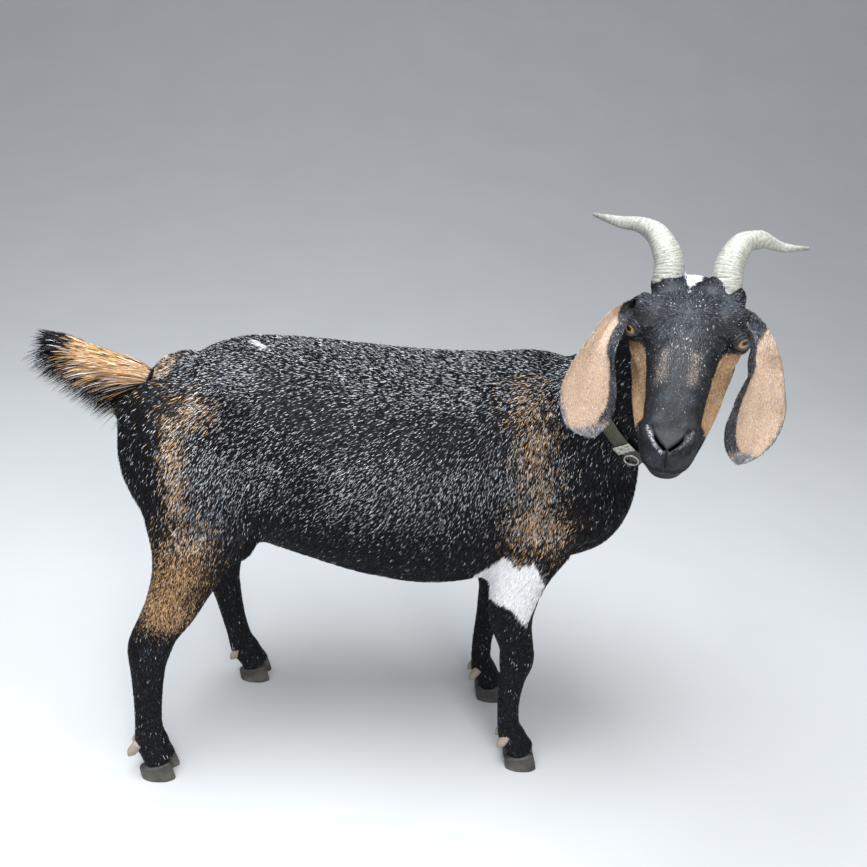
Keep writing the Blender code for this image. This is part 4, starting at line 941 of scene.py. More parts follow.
def lie_of(points, normals):
    """The way that the hair lies at each place, along the skin."""
    total = lie_from(points, BODY_LIE, LIE_REACH["body"], 1e-4)
    for place, way in NECK_LIE:
        near = spot(points, place, (LIE_REACH["neck"],) * 3)
        total += NECK_WEIGHT * near[:, None] * unit(way)
    face = unit(lie_from(to_head(points), HEAD_LIE, LIE_REACH["head"], 1e-5)) @ AXES
    head = on_head(points)[:, None]
    way = unit(total) * (1 - head) + face * head
    way = way - normals * np.einsum("ij,ij->i", way, normals)[:, None]
    return unit(way)


# The unwrap's tiles in each row, the clear edge of a tile, and the tiles of the regions
TILES = 4
TILE_EDGE = 0.06
TILE_SPAN = 1 - 2 * TILE_EDGE
NECK_TILE = 5
HEAD_TILE = 6
EAR_TILES = {"right": 7, "left": 8}
TAIL_TILE = 11
# The share of an ear's tile that its inside has
INSIDE_SPAN = 0.455
# Where the body's and the head's tiles start along them, and how far each tile runs
BODY_FROM = -0.42
HEAD_FROM = -0.06
BODY_RUN = 0.88
LEG_RUN = 0.5
NECK_RUN = 0.3
HEAD_RUN = 0.31
# The lines that the body, the neck and the head are unwrapped round
BODY_HEIGHT = 0.57
NECK_MIDDLE = (0.38, -0.12)
HEAD_HEIGHT = -0.055


def on_tile(tile, along, round_it):
    """Places on a tile of the unwrap, from shares along a region and round it."""
    u = TILE_EDGE + TILE_SPAN * along
    v = TILE_EDGE + TILE_SPAN * round_it
    return np.stack([(tile % TILES + u) / TILES, (tile // TILES + v) / TILES], 1)


def unwrap(points):
    """A place for each point on an unwrap of the skin: a tile for each region, laid out
    along that region and round it."""
    x, y, z = points.T
    region = np.zeros(len(points), int)
    along = (x - BODY_FROM) / BODY_RUN
    angle = np.arctan2(y, z - BODY_HEIGHT)
    low = (z < 0.44) & (np.abs(y) > 0.035)
    for tile, foot in enumerate(FEET.values(), start=1):
        mine = low & (np.sign(y) == np.sign(foot[1])) & ((x > 0) == (foot[0] > 0))
        region[mine] = tile
        along = np.where(mine, z / LEG_RUN, along)
        angle = np.where(mine, np.arctan2(y - foot[1] * 0.98, x - foot[0] * 0.95), angle)
    up_neck = (points - COLLAR_PLACE) @ unit(COLLAR_WAY)
    neck = up_neck > 0
    region[neck] = NECK_TILE
    along = np.where(neck, up_neck / NECK_RUN, along)
    angle = np.where(neck, np.arctan2(y - NECK_MIDDLE[1], x - NECK_MIDDLE[0]), angle)
    head = on_head(points) > 0.5
    s, left, brow = to_head(points).T
    region[head] = HEAD_TILE
    along = np.where(head, (s - HEAD_FROM) / HEAD_RUN, along)
    angle = np.where(head, np.arctan2(left, brow - HEAD_HEIGHT), angle)
    return on_tile(region, np.clip(along, 0, 1), angle / (2 * math.pi) + 0.5)


# Hair

# The seeds of the random parts; an ear's has its tile added, and the lashes' the length
# of the word for their side
COAT_SEED = 41
EAR_SEED = 50
LASH_SEED = 61
TAIL_SEED = 71
# Length and width of the fine pale hairs mixed in the dark coat, and how far above the
# skin their roots sit
TICK_LENGTH = 0.0060
TICK_WIDTH = 0.00054
TICK_RAISED = 0.0008
# Faces of one piece of the coat, and a tuft's area as a share of its length times width
PIECE_FACES = 190000
TUFT_SHAPE = 0.5
# How often the tufts cover the skin, and how steeply they rise from it
COVER_BODY = 1.55
COVER_HEAD = 1.50
LIFT_BODY = 0.15
LIFT_HEAD = 0.09
TICK_LIFT = 0.20
EAR_LIFT = 0.16
# How far tufts differ: length, lift and roll; and how far they turn from the coat's lie
LENGTH_SPREAD = (0.7, 1.25)
LIFT_SPREAD = (0.4, 1.6)
ROLL_SPREAD = 0.45
TURN_SPREAD = 0.22
TICK_TURN = 0.14
# Where a tuft is widest, how deep its root sits, and the size of its patch of the bake
TUFT_WAIST = 0.42
ROOT_DEPTH = 0.0006
BAKE_PATCH = 0.003


def roots_on(points, faces, density, draw):
    """Random roots on a surface, as many in each place as its density asks; and a way to
    read values at them."""
    a, b, c = (points[faces[:, k]] for k in range(3))
    cross = np.cross(b - a, c - a)
    area = np.linalg.norm(cross, axis=1) / 2
    wanted = area * density
    whole = np.floor(wanted + draw.random(len(faces))).astype(int)
    pick = np.repeat(np.arange(len(faces)), whole)
    draw.shuffle(pick)
    r1, r2 = draw.random((2, len(pick)))
    flip = r1 + r2 > 1
    r1, r2 = np.where(flip, 1 - r1, r1), np.where(flip, 1 - r2, r2)
    shares = np.stack([1 - r1 - r2, r1, r2], 1)

    def read(values):
        """Values stored at points, read at the roots."""
        return np.einsum("ij,ij...->i...", shares, values[faces[pick]])

    return read(points), read


def hair_marks(shares, draw):
    """Each hair is black, tan, white or grey, by the shares of its place."""
    tan, white, grey = shares.T
    count = len(shares)
    pick = draw.random(count)
    is_white = pick < white
    is_tan = ~is_white & (pick < white + tan)
    is_grey = ~is_white & ~is_tan & (pick < white + tan + grey)
    marks = np.zeros((count, 4))
    marks[:, 0] = is_tan * draw.uniform(0.80, 1.0, count)
    marks[:, 1] = is_white * draw.uniform(0.60, 1.0, count)
    marks[:, 1] += is_tan * 0.26 * draw.random(count) ** 2
    marks[:, 2] = is_grey * draw.uniform(0.25, 0.9, count)
    marks[:, 3] = draw.random(count)
    return marks


def blades(name, roots, normals, lies, lengths, widths, lift, marks, places, draw,
           turned_by=TURN_SPREAD, steps=1, droop=0.0):
    """Thin tapered tufts of hair, as pieces that each keep under the limit."""
    made = []
    turn = draw.normal(0.0, turned_by, len(roots))
    side = np.cross(normals, lies)
    way = lies * np.cos(turn)[:, None] + side * np.sin(turn)[:, None]
    roll = draw.normal(0.0, ROLL_SPREAD, len(roots))
    across = np.cross(normals, way)
    across = across * np.cos(roll)[:, None] + normals * np.sin(roll)[:, None]
    lengths = lengths * draw.uniform(*LENGTH_SPREAD, len(roots))
    lift = lift * draw.uniform(*LIFT_SPREAD, len(roots))
    widths = np.broadcast_to(widths, len(roots))

    def middle(t):
        """The middle line of each tuft, which bends over towards its tip."""
        height = lengths * lift * (1.0 - (1.0 - t) ** 2.0) - ROOT_DEPTH * (1 - t)
        centre = roots + way * (lengths * t)[:, None] + normals * height[:, None]
        centre[:, 2] -= droop * lengths * t * t
        return centre

    if steps == 1:
        half = (widths / 2)[:, None]
        waist = middle(TUFT_WAIST)
        points = np.stack([middle(0.0), waist - across * half, waist + across * half,
                           middle(1.0)], 1)
        faces = np.array(((0, 2, 1), (1, 2, 3)))
        along = np.array((0.0, TUFT_WAIST, TUFT_WAIST, 1.0))
        shift = np.array((0.0, -0.5, 0.5, 0.0))
    else:
        sets = []
        for i in range(steps):
            t = i / steps
            half = (widths * (1.0 - 0.25 * t) / 2)[:, None]
            sets += [middle(t) - across * half, middle(t) + across * half]
        points = np.stack(sets + [middle(1.0)], 1)
        faces = []
        for a in range(0, 2 * steps - 2, 2):
            faces += [(a, a + 1, a + 3), (a, a + 3, a + 2)]
        a = 2 * steps - 2
        faces = np.array(faces + [(a, a + 1, a + 2)])
        along = np.append(np.repeat(np.arange(steps) / steps, 2), 1.0)
        shift = np.append(np.tile((-0.5, 0.5), steps), 0.0)
    each = len(along)
    patch = np.stack([shift, along - 0.5], 1) * BAKE_PATCH
    limit = PIECE_FACES // len(faces)
    for start in range(0, len(roots), limit):
        part = slice(start, start + limit)
        count = len(roots[part])
        mesh_faces = (np.arange(count)[:, None, None] * each + faces[None]).reshape(-1, 3)
        thing = solid_mesh(f"{name}_{start // limit + 1}", points[part].reshape(-1, 3), mesh_faces,
                           smooth=False)
        keep_values(thing, "coat_marks", np.repeat(marks[part], each, axis=0))
        keep_values(thing, "hair_along", np.tile(along, count))
        corners = (places[part][:, None, :] + patch[None]).reshape(-1, 2)
        layer = thing.data.uv_layers.new(name="OFBake")
        layer.data.foreach_set("uv", corners[mesh_faces.ravel()].astype(np.float32).ravel())
        made.append(thing)
    return made


# The bare skin: within this of an eye's middle and in this reach of its opening; the pad
# of the nose along the head, its half width there, and its foot; and how deep in a crease
BARE_LID = (0.0225, 1.22)
PAD_ALONG = (0.196, 0.205, 0.221, 0.224)
PAD_HALF = (0.006, 0.019, 0.004, 0.003)
PAD_FOOT = -0.034
BARE_SUNK = (0.0006, 0.0016)


def bare_places(points, sunk):
    """1 where no hair grows: inside the lids, on the pad of the nose, and in the creases."""
    bare = np.zeros(len(points))
    for side in SIDES:
        reach, _, far = lid_reach(points, side)
        bare = np.maximum(bare, (far < BARE_LID[0]) * (reach < BARE_LID[1]))
    s, left, brow = to_head(points).T
    inner = np.interp(s, PAD_ALONG, PAD_HALF)
    pad = ramp(s, 0.197, 0.208) * ramp(inner - np.abs(left), -0.0015, 0.0025) * (brow > PAD_FOOT)
    return np.maximum(bare, np.maximum(pad, ramp(sunk, *BARE_SUNK)) * on_head(points))


# A tuft's least width, and how much wider it is for its length
LEAST_WIDTH = 0.00012
WIDTH_SHARE = 0.098


def hair_width(length):
    """Width of a tuft of a given length."""
    return LEAST_WIDTH + WIDTH_SHARE * length


def grow_coat(points, faces, sunk):
    """The short coat over the whole skin, and the fine pale hairs mixed in it, which are partly
    real pale hairs and partly painted sheen.
    """
    draw = np.random.default_rng(COAT_SEED)
    normals = point_normals(points, faces)
    middle = points[faces].mean(1)
    length = hair_length(middle)
    head = on_head(middle)
    hairy = 1 - bare_places(middle, sunk[faces].mean(1))
    cover = COVER_BODY * (1 - head) + COVER_HEAD * head
    density = cover / (TUFT_SHAPE * length * hair_width(length)) * hairy
    roots, read = roots_on(points, faces, density, draw)
    at = unit(read(normals))
    length = hair_length(roots)
    marks = hair_marks(marks_of(roots), draw)
    made = blades("coat", roots, at, lie_of(roots, at), length, hair_width(length),
                  LIFT_BODY + (LIFT_HEAD - LIFT_BODY) * on_head(roots), marks, unwrap(roots),
                  draw)

    # the fine pale hairs, partly real and partly painted sheen: tan in the tan, else bluish grey
    # with some white
    share = ticks_and_sheen(middle, unit(normals[faces].mean(1)))
    density = share / (TUFT_SHAPE * TICK_LENGTH * TICK_WIDTH) * hairy
    roots, read = roots_on(points, faces, density, draw)
    at = unit(read(normals))
    tan = body_marks(roots)[0]
    count = len(roots)
    marks = np.zeros((count, 4))
    marks[:, 0] = draw.uniform(0.5, 1.0, count) * ramp(tan, 0.10, 0.38)
    marks[:, 1] = draw.uniform(0.25, 1.0, count) * (1 - 0.55 * ramp(tan, 0.2, 0.5))
    marks[:, 2] = 1.0
    marks[:, 3] = draw.random(count)
    made += blades("coat_ticks_and_sheen", roots + at * TICK_RAISED, at, lie_of(roots, at),
                   TICK_LENGTH, TICK_WIDTH, TICK_LIFT, marks, unwrap(roots), draw, TICK_TURN)
    return made


# Ears

def ear_shape(side):
    """Points, faces and the places along and across of one ear's skin."""
    line = through([row[0] for row in EARS[side]], EAR_ALONG)
    halves, cups = through([row[1:] for row in EARS[side]], EAR_ALONG).T
    facing = unit(EAR_FACING[side])
    along = unit(np.gradient(line, axis=0))
    out = unit(facing - along * (along @ facing)[:, None])
    across = np.cross(along, out)
    v = np.concatenate([np.linspace(-1, 1, EAR_ACROSS), np.linspace(1, -1, EAR_ACROSS)[1:-1]])
    back = np.concatenate([np.zeros(EAR_ACROSS), np.ones(EAR_ACROSS - 2)])
    thick = EAR_THICKNESS * np.sqrt(np.maximum(1 - v ** 6, 0.05)) * np.where(back > 0, -0.5, 0.5)
    share = np.linspace(0, 1, EAR_ALONG)
    inner = v * (1 if side == "left" else -1)
    share = share[:, None]
    roll = EAR_ROLL * ramp(inner, 0.55, 1.0) * ramp(share, 0.10, 0.3)
    halves = halves[:, None]
    bow = cups[:, None] * halves * v ** 2
    vein = EAR_VEINS * np.cos(v * 9.0 + 2.0 * share) * ramp(share, 0.1, 0.4)
    wave = EAR_WAVES * np.sin(share * 11.0 + 1.5 * v) * np.abs(v)
    offset = bow + halves * roll + vein + wave + thick
    rings = (line[:, None] + across[:, None] * (halves * v)[:, :, None]
             + out[:, None] * offset[:, :, None])
    points, faces = loft(rings)
    along_all = np.concatenate([np.repeat(share, len(v)), (0.0, 1.0)])
    inner_all = np.concatenate([np.tile(inner, EAR_ALONG), (0.0, 0.0)])
    back_all = np.concatenate([np.tile(back, EAR_ALONG), (0.0, 0.0)])
    lie = np.concatenate([np.repeat(along, len(v), axis=0), along[:1], along[-1:]])
    return points, facing_out(points, faces), along_all, inner_all, back_all, lie


# How far towards the face the cream inside of an ear reaches, at places along it
CREAM_ALONG = (0.14, 0.17, 0.20, 0.23, 0.37, 0.45, 0.60, 0.73, 0.80, 0.86, 0.92)
CREAM_TO = (-1.30, -1.00, -0.30, 0.22, 0.30, 0.66, 0.70, 0.62, 0.48, 0.30, -0.10)
# How much wider the dark band along its front is
DARK_FRONT = {"right": 0.0, "left": 0.20}


def ear_marks(side, points, along, inner, back):
    """Cream inside, grey at the edges and the tip, and dark outside and in front."""
    fine = ripple(points, 120.0, 31)
    wander = ripple(points, 40.0, 33)
    limit = np.interp(along, CREAM_ALONG, CREAM_TO) - DARK_FRONT[side]
    front = ramp(inner - limit + 0.03 * wander, -0.02, 0.10)
    tip = ramp(along + 0.025 * wander, 0.83, 0.92)
    outer = ramp(-inner + 0.05 * wander, 0.80, 0.93) * (0.35 + 0.65 * ramp(along, 0.60, 0.75))
    grey_edge = np.maximum(outer, tip) * (1 - front * (1 - tip))
    dark = np.maximum(back, front * (1 - 0.7 * tip))
    cream = (1 - dark) * (1 - 0.88 * grey_edge)
    tan = cream * (0.96 + 0.04 * fine)
    white = cream * 0.30 + 0.02 + 0.05 * grey_edge
    grey = np.clip(0.85 * grey_edge * (1 - 0.6 * dark) + 0.22 * dark + 0.1 * wander, 0, 1)
    return np.stack([np.clip(tan, 0, 1), np.clip(white, 0, 1), grey], 1)


def grow_ear(side, shape):
    """The short coat of an ear, inside and outside."""
    points, faces, along, inner, back, lie = shape
    tile = EAR_TILES[side]
    draw = np.random.default_rng(EAR_SEED + tile)
    normals = point_normals(points, faces)
    length = EAR_HAIR + EAR_HAIR_ROOT_MORE * (1 - ramp(along, 0.1, 0.3))
    middle = length[faces].mean(1)
    density = COVER_EAR / (TUFT_SHAPE * middle * hair_width(middle))
    roots, read = roots_on(points, faces, density, draw)
    along, inner, back, length = (read(values) for values in (along, inner, back, length))
    at = unit(read(normals))
    lies = unit(read(lie))
    lies = unit(lies - at * np.einsum("ij,ij->i", lies, at)[:, None])
    here = ear_marks(side, roots, along, inner, back)
    marks = hair_marks(here, draw)
    # inside the ear the cream is one soft colour, with only some grey hairs in it
    cream = (here[:, 0] > 0.5) & (draw.random(len(roots)) > 0.24)
    marks[cream, 0] = draw.uniform(0.85, 1.0, cream.sum())
    marks[cream, 1] = draw.uniform(0.10, 0.38, cream.sum())
    marks[cream, 2] = 0
    places = on_tile(tile, along, INSIDE_SPAN * (inner + 1) / 2 + (1 - INSIDE_SPAN) * back)
    return blades(f"coat_ear_{side}", roots, at, lies, length, hair_width(length),
                  EAR_LIFT, marks, places, draw)


# Eyes and lids

# How far the cornea bulges and how far out it reaches, as shares of the eye
CORNEA = 0.035
CORNEA_REACH = 0.42
EYE_ROWS = 72
EYE_SIDES = 96
# The lids' rim from its wet edge out: reach over the opening, and height over the eye
RIM_STEPS = ((0.88, 0.0001), (0.93, 0.0007), (0.99, 0.0013), (1.06, 0.0017), (1.14, 0.0018),
             (1.24, 0.0014), (1.36, 0.0003))
RIM_RINGS = 40
RIM_WRINKLES = 0.00018
LID_SIDES = 120
# The lashes: how many, how long, how wide, and the ring of the rim that they stand on
LASHES = 110
LASH_LENGTH = 0.0065
LASH_WIDTH = 0.00030
LASH_RING = 24
# How the lashes rise from their lie, turn from it, and hang down
LASH_LIFT = 0.05
LASH_TURN = 0.10
LASH_DROOP = 0.1


def add_eye(side):
    """A round eyeball with a cornea that bulges a little."""
    centre = in_head(EYES[side], SIDES[side])
    look, slant, up = eye_ways(side, EYE_LOOK)
    polar = np.linspace(0.0, math.pi, EYE_ROWS + 2)[1:-1]
    angle = round_angles(EYE_SIDES)
    out = np.sin(polar)[:, None] * np.ones(EYE_SIDES)
    deep = np.cos(polar)[:, None] * np.ones(EYE_SIDES)
    bulge = 1.0 + CORNEA * np.exp(-(out / CORNEA_REACH) ** 2) * (deep > 0)
    rings = centre + EYE_RADIUS * bulge[:, :, None] * (
        slant * (out * np.cos(angle))[:, :, None] - up * (out * np.sin(angle))[:, :, None]
        + look * deep[:, :, None])
    points, faces = loft(rings)
    eye = solid_mesh(f"eyeball_{side}", points, facing_out(points, faces))
    local = (points - centre) / EYE_RADIUS
    keep_values(eye, "eye_place", np.stack([local @ slant, -local @ up, local @ look], 1))
    return eye


def lid_rings(side):
    """Rings of the lids' rim, from the wet edge outwards."""
    centre, aim, along, lift = eye_frame(side)
    angle = round_angles(LID_SIDES)
    c, s = np.cos(angle), np.sin(angle)
    rings = []
    for reach, height in through(RIM_STEPS, RIM_RINGS):
        wide = LID_OPENING[0] * c * reach
        high = LID_OPENING[1] * s * (1 - 0.25 * c ** 2) * reach
        deep = np.sqrt(np.maximum(EYE_RADIUS ** 2 - wide ** 2 - high ** 2, 1e-8))
        way = unit(along * wide[:, None] + lift * high[:, None] + aim * deep[:, None])
        over = EYE_RADIUS + height * (1.0 + 0.15 * ramp(s, -0.2, 0.5))
        over += RIM_WRINKLES * np.sin(angle * 11 + 40 * reach) * ramp(reach, 1.0, 1.1)
        rings.append(centre + way * over[:, None])
    return np.array(rings)


def add_lid(side):
    """The dark bare rim of an eye's lids, wet along its inner edge."""
    rings = lid_rings(side)
    points, faces = loft(rings, caps=False)
    if (point_normals(points, faces) @ eye_frame(side)[1]).sum() < 0:
        faces = faces[:, ::-1]
    lid = solid_mesh(f"lid_{side}", points, faces)
    keep_values(lid, "lid_reach", np.repeat(np.linspace(0, 1, len(rings)), rings.shape[1]))
    return lid


def add_lashes(side):
    """Short dark lashes along the upper lid."""
    centre, aim, along, lift = eye_frame(side)
    draw = np.random.default_rng(LASH_SEED + len(side))
    count = LASHES
    row = lid_rings(side)[LASH_RING]
    angle = draw.uniform(0.10 * math.pi, 0.90 * math.pi, count)
    roots = row[(angle / (2 * math.pi) * LID_SIDES).astype(int)]
    flat = unit(along * np.cos(angle)[:, None] + lift * np.sin(angle)[:, None])
    lie = unit(aim * 0.75 + flat * 0.7 - AXES[2] * 0.35 + draw.normal(0, 0.1, (count, 3)))
    lengths = LASH_LENGTH * np.sin(angle) ** 0.5 * draw.uniform(0.7, 1.1, count)
    marks = np.zeros((count, 4))
    marks[:, 3] = draw.random(count)
    places = np.stack([np.full(count, 0.9), 0.9 + 0.05 * draw.random(count)], 1)
    return blades(f"lashes_{side}", roots, unit(roots - centre), lie, lengths, LASH_WIDTH,
                  LASH_LIFT, marks, places, draw, LASH_TURN, 4, LASH_DROOP)


# Horns, claws and dewclaws

def add_horn(side):
    """A curved horn with fine growth rings that fade towards its tip."""
    line = through(in_head(HORN_LINES[side], SIDES[side]), HORN_STEPS)
    radii = through([(r,) for r in HORN_RADII[side]], HORN_STEPS)[:, 0]
    along = unit(np.gradient(line, axis=0))
    across = unit(AXES[1] - along * (along @ AXES[1])[:, None])
    deep = np.cross(along, across)
    angle = round_angles(HORN_SIDES)
    share = np.linspace(0, 1, HORN_STEPS)[:, None]
    phase = share * HORN_WRINKLES + 0.35 * np.sin(share * 23.0)
    phase = phase + 0.22 * np.sin(angle * 2 + share * 9)
    ridge = np.abs(np.sin(phase * math.pi)) ** 0.7
    fine = np.sin(phase * math.pi * 3.7)
    fade = (1 - share) ** 0.6
    reach = radii[:, None] * (1 + fade * (WRINKLE_HEIGHT * (ridge - 0.7) + LINE_HEIGHT * fine))
    reach = reach * (1 + SIDE_HEIGHT * np.sin(angle * 5 + share * 3))
    knobs = np.sin(angle * 9 + 3 * np.sin(phase * 2.1)) * np.sin(phase * 5.3 + angle * 2)
    reach = reach * (1 + KNOB_HEIGHT * fade * knobs)
    points, faces = loft(hoops(line, across, deep, reach * HORN_WIDE, reach * HORN_DEEP, angle))
    horn = solid_mesh(f"ringed_horn_{side}", points, facing_out(points, faces))
    place = np.stack([np.repeat(share, HORN_SIDES), ridge.ravel(), np.tile(angle, HORN_STEPS)], 1)
    keep_values(horn, "horn_place", np.vstack([place, (0, 0.5, 0), (1, 0.5, 0)]))
    return horn


def add_claw(foot, inner, name):
    """One claw with growth lines and a worn edge, higher at its toe than at its heel."""
    count, rows = 72, 40
    angle = round_angles(count)
    c, s = np.cos(angle), np.sin(angle)
    rings = []
    for share in np.linspace(0, 1, rows):
        long = np.interp(share, CLAW_UP, CLAW_LONG)
        wide = np.interp(share, CLAW_UP, CLAW_WIDE)
        x = CLAW_LENGTH / 2 * c * long - CLAW_LEAN * share
        width = CLAW_WIDTH / 2 * wide * (1.0 - CLAW_TOE * np.maximum(c, 0.0) ** 2)
        y = width * np.copysign(np.abs(s) ** 0.8, s)
        top = CORONET_HEEL + (CORONET_TOE - CORONET_HEEL) * (c + 1) / 2
        line = 1 + CLAW_LINES * np.sin(share * 34 + 0.6 * np.sin(angle * 3)) * (0.2 < share < 0.95)
        chip = CLAW_CHIPS * np.sin(angle * 7 + inner) * (0 < share < 0.05)
        rings.append(np.stack([x * line, y * line, top * share + chip], 1))
    points, faces = loft(np.array(rings))
    turn = CLAW_SPLAY * inner
    spin = np.array(Matrix.Rotation(turn, 3, "Z"))
    centre = np.array(foot) + (0, (CLAW_WIDTH + CLAW_CLEFT) / 2 * inner, 0)
    claw = solid_mesh(name, points @ spin.T + centre, facing_out(points, faces))
    share = np.append(np.repeat(np.linspace(0, 1, rows), count), (0.0, 1.0))
    keep_values(claw, "horn_place", np.stack([share, points[:, 0] / CLAW_LENGTH + 0.5,
                                              share * 0], 1))
    return claw


def add_dewclaw(foot, inner, name):
    """A small blunt horn cone behind the fetlock."""
    middle = np.array((foot[0] - DEWCLAW_BACK, foot[1] + DEWCLAW_OUT * inner, DEWCLAW_UP))
    tip = middle + (-0.007, 0.002 * inner, -0.0132)
    top = middle + (0.010, 0.0, 0.012)
    count, rows = 32, 26
    share = np.linspace(0, 1, rows)
    line = top + (tip - top) * share[:, None]
    half = DEWCLAW_RADIUS * np.sqrt(np.clip(1 - ramp(share, 0.45, 1.0) ** 2 * 0.9, 0, 1))
    half = (half * (1 + 0.02 * np.sin(share * 30)))[:, None]
    side = np.tile((0.0, 1.0, 0.0), (rows, 1))
    deep = np.cross(unit(tip - top), side)
    points, faces = loft(hoops(line, side, deep, 0.9 * half, half, round_angles(count)))
    made = solid_mesh(name, points, facing_out(points, faces))
    place = np.append(np.repeat(share, count), (0.0, 1.0))
    keep_values(made, "horn_place", np.stack([1 - place, place * 0 + 0.5, place * 0], 1))
    return made


# Collar

def tree_of(name):
    """A CAD piece's surface, for rays to be cast at."""
    points, faces = arrays_of(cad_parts[name].data)
    return BVHTree.FromPolygons([tuple(p) for p in points], [tuple(f) for f in faces])


def collar_axes():
    """The ways through the collar, across it and up it."""
    along = unit(COLLAR_WAY)
    side = unit(np.array((0.0, 1.0, 0.0)) - along * along[1])
    return along, side, np.cross(along, side)


# Places round the band, and how many neighbours each is evened out with
BAND_STEPS = 420
BAND_EVEN = 7


# The band's outer face: how far its rows rise and fall, how far its edges fall and from
# where; and how much thinner it is than the CAD band
BAND_ROWS = 0.00035
BAND_FALL = 0.0007
BAND_FALL_FROM = 0.88
BAND_THINNER = 0.0003


def band_profile():
    """The band's cut across: places along its width and out from it."""
    profile = []
    for u in np.linspace(-1, 1, 25):
        fall = BAND_FALL * max(abs(u) - BAND_FALL_FROM, 0) / (1 - BAND_FALL_FROM)
        rise = BAND_ROWS * math.cos(u * math.pi * 4) * (abs(u) < 0.9)
        profile.append((u * 0.5, rise - fall))
    for u in np.linspace(1, -1, 9):
        profile.append((u * 0.49, BAND_THINNER - COLLAR_THICKNESS))
    return profile


def add_collar():
    """The woven band, with soft edges, following the CAD band's outline."""
    band = tree_of("collar_band")
    along, side, up = collar_axes()
    angle = round_angles(BAND_STEPS)
    ways = side * np.cos(angle)[:, None] + up * np.sin(angle)[:, None]
    reach = []
    for way in ways:
        hit = band.ray_cast(Vector(COLLAR_PLACE + way * 0.3), Vector(-way))[0]
        reach.append((np.array(hit) - COLLAR_PLACE) @ way)
    reach = np.array(reach)
    kernel = np.hanning(2 * BAND_EVEN + 1)
    reach = np.concatenate([reach[-BAND_EVEN:], reach, reach[:BAND_EVEN]])
    reach = np.convolve(reach, kernel / kernel.sum(), "valid")
    profile = band_profile()
    rings = []
    for lift, depth in profile:
        rings.append(COLLAR_PLACE + along * (COLLAR_WIDTH * lift)
                     + ways * (reach + depth)[:, None])
    rings = np.array(rings).transpose(1, 0, 2)
    rings = np.concatenate([rings, rings[:1]])
    points, faces = loft(rings, caps=False)
    made = solid_mesh("collar_band_woven", points, facing_out(points, faces))
    steps = np.linalg.norm(np.diff(rings[:, 12], axis=0), axis=1)
    length = np.concatenate([[0.0], np.cumsum(steps)])
    place = np.stack([np.repeat(length, len(profile)),
                      np.tile([row[0] * COLLAR_WIDTH for row in profile], len(rings)),
                      np.zeros(len(points))], 1)
    keep_values(made, "band_place", place)
    return made


# Width of the keeper's rounded edges, the least angle of an edge that is rounded, and of
# one that stays sharp in the shading
KEEPER_EDGE = 0.0006
EDGE_ANGLE = 40
SHARP_ANGLE = 60


def refined(name, new_name, soft):
    """A finer copy of a small CAD piece: soft is the width of its rounded edges, or 0 for
    a piece that is round all over."""
    thing = in_scene("draft", mesh_from(cad_surface(name), "draft"))
    if soft:
        bevel = thing.modifiers.new("soft", "BEVEL")
        bevel.width = soft
        bevel.segments = 3
        bevel.angle_limit = math.radians(EDGE_ANGLE)
    fine = thing.modifiers.new("fine", "SUBSURF")
    fine.subdivision_type = "SIMPLE" if soft else "CATMULL_CLARK"
    fine.levels = fine.render_levels = 2
    mesh = baked(thing)
    mesh.name = new_name
    mesh.shade_smooth()
    mesh.set_sharp_from_angle(angle=math.radians(SHARP_ANGLE))
    mesh.materials.clear()
    return in_scene(new_name, mesh)


# Tail

# The flesh's share of the tail's size, and the roots of its hair on each square metre
CORE_SHARE = 0.8
TAIL_ROOTS = 700000.0
TAIL_HAIR_WIDTH = 0.0011
TAIL_HAIR = 0.042
TAIL_HAIR_BELOW_MORE = 0.026
# How the tail's hair rises, turns from its lie, and hangs down
TAIL_LIFT = 0.02
TAIL_TURN = 0.12
TAIL_DROOP = 0.16


def tail_core():
    """The tail's own flesh under its long hair."""
    line = through(TAIL_LINE, 60)
    halves = through(TAIL_SIZES, 60)
    along = unit(np.gradient(line, axis=0))
    side = np.array((0.0, 1.0, 0.0))
    across = unit(side - along * along[:, 1:2])
    deep = np.cross(along, across)
    high, wide = CORE_SHARE * halves[:, :1], CORE_SHARE * halves[:, 1:]
    points, faces = loft(hoops(line, across, deep, wide, high, round_angles(36)))
    return points, facing_out(points, faces)


def grow_tail(points, faces):
    """Long hair that hangs round the tail: tan above, dark below and at the tip."""
    draw = np.random.default_rng(TAIL_SEED)
    normals = point_normals(points, faces)
    roots, read = roots_on(points, faces, TAIL_ROOTS, draw)
    at = unit(read(normals))
    line = through(TAIL_LINE, 200)
    near = np.argmin(((roots[:, None] - line[None, ::4]) ** 2).sum(2), 1) * 4
    along = unit(np.gradient(line, axis=0))[near]
    share = near / 199
    below = ramp(-at[:, 2], -0.3, 0.8)
    lie = unit(along + at * (0.20 + 0.30 * below)[:, None]
               + np.array((0.0, 0.0, -1.0)) * (0.55 * below)[:, None])
    lengths = (TAIL_HAIR + TAIL_HAIR_BELOW_MORE * below) * (1 - 0.25 * share)
    tan = np.clip((1 - 1.15 * below) * (1 - ramp(share, 0.45, 0.75)), 0, 0.92)
    white = 0.02 + 0.08 * below * ramp(0.7 - share, 0, 0.3)
    marks = hair_marks(np.stack([tan, white, np.full(len(roots), 0.025)], 1), draw)
    angle = np.arctan2(at[:, 1], at[:, 2]) / (2 * math.pi) + 0.5
    return blades("tail_hair", roots, at, lie, lengths, TAIL_HAIR_WIDTH, TAIL_LIFT, marks,
                  on_tile(TAIL_TILE, share, angle), draw, TAIL_TURN, 5, TAIL_DROOP)


# Materials

def feed(tree, socket, value):
    """Give a socket a value, or link another node's output to it."""
    if isinstance(value, bpy.types.NodeSocket):
        tree.links.new(value, socket)
    else:
        socket.default_value = value


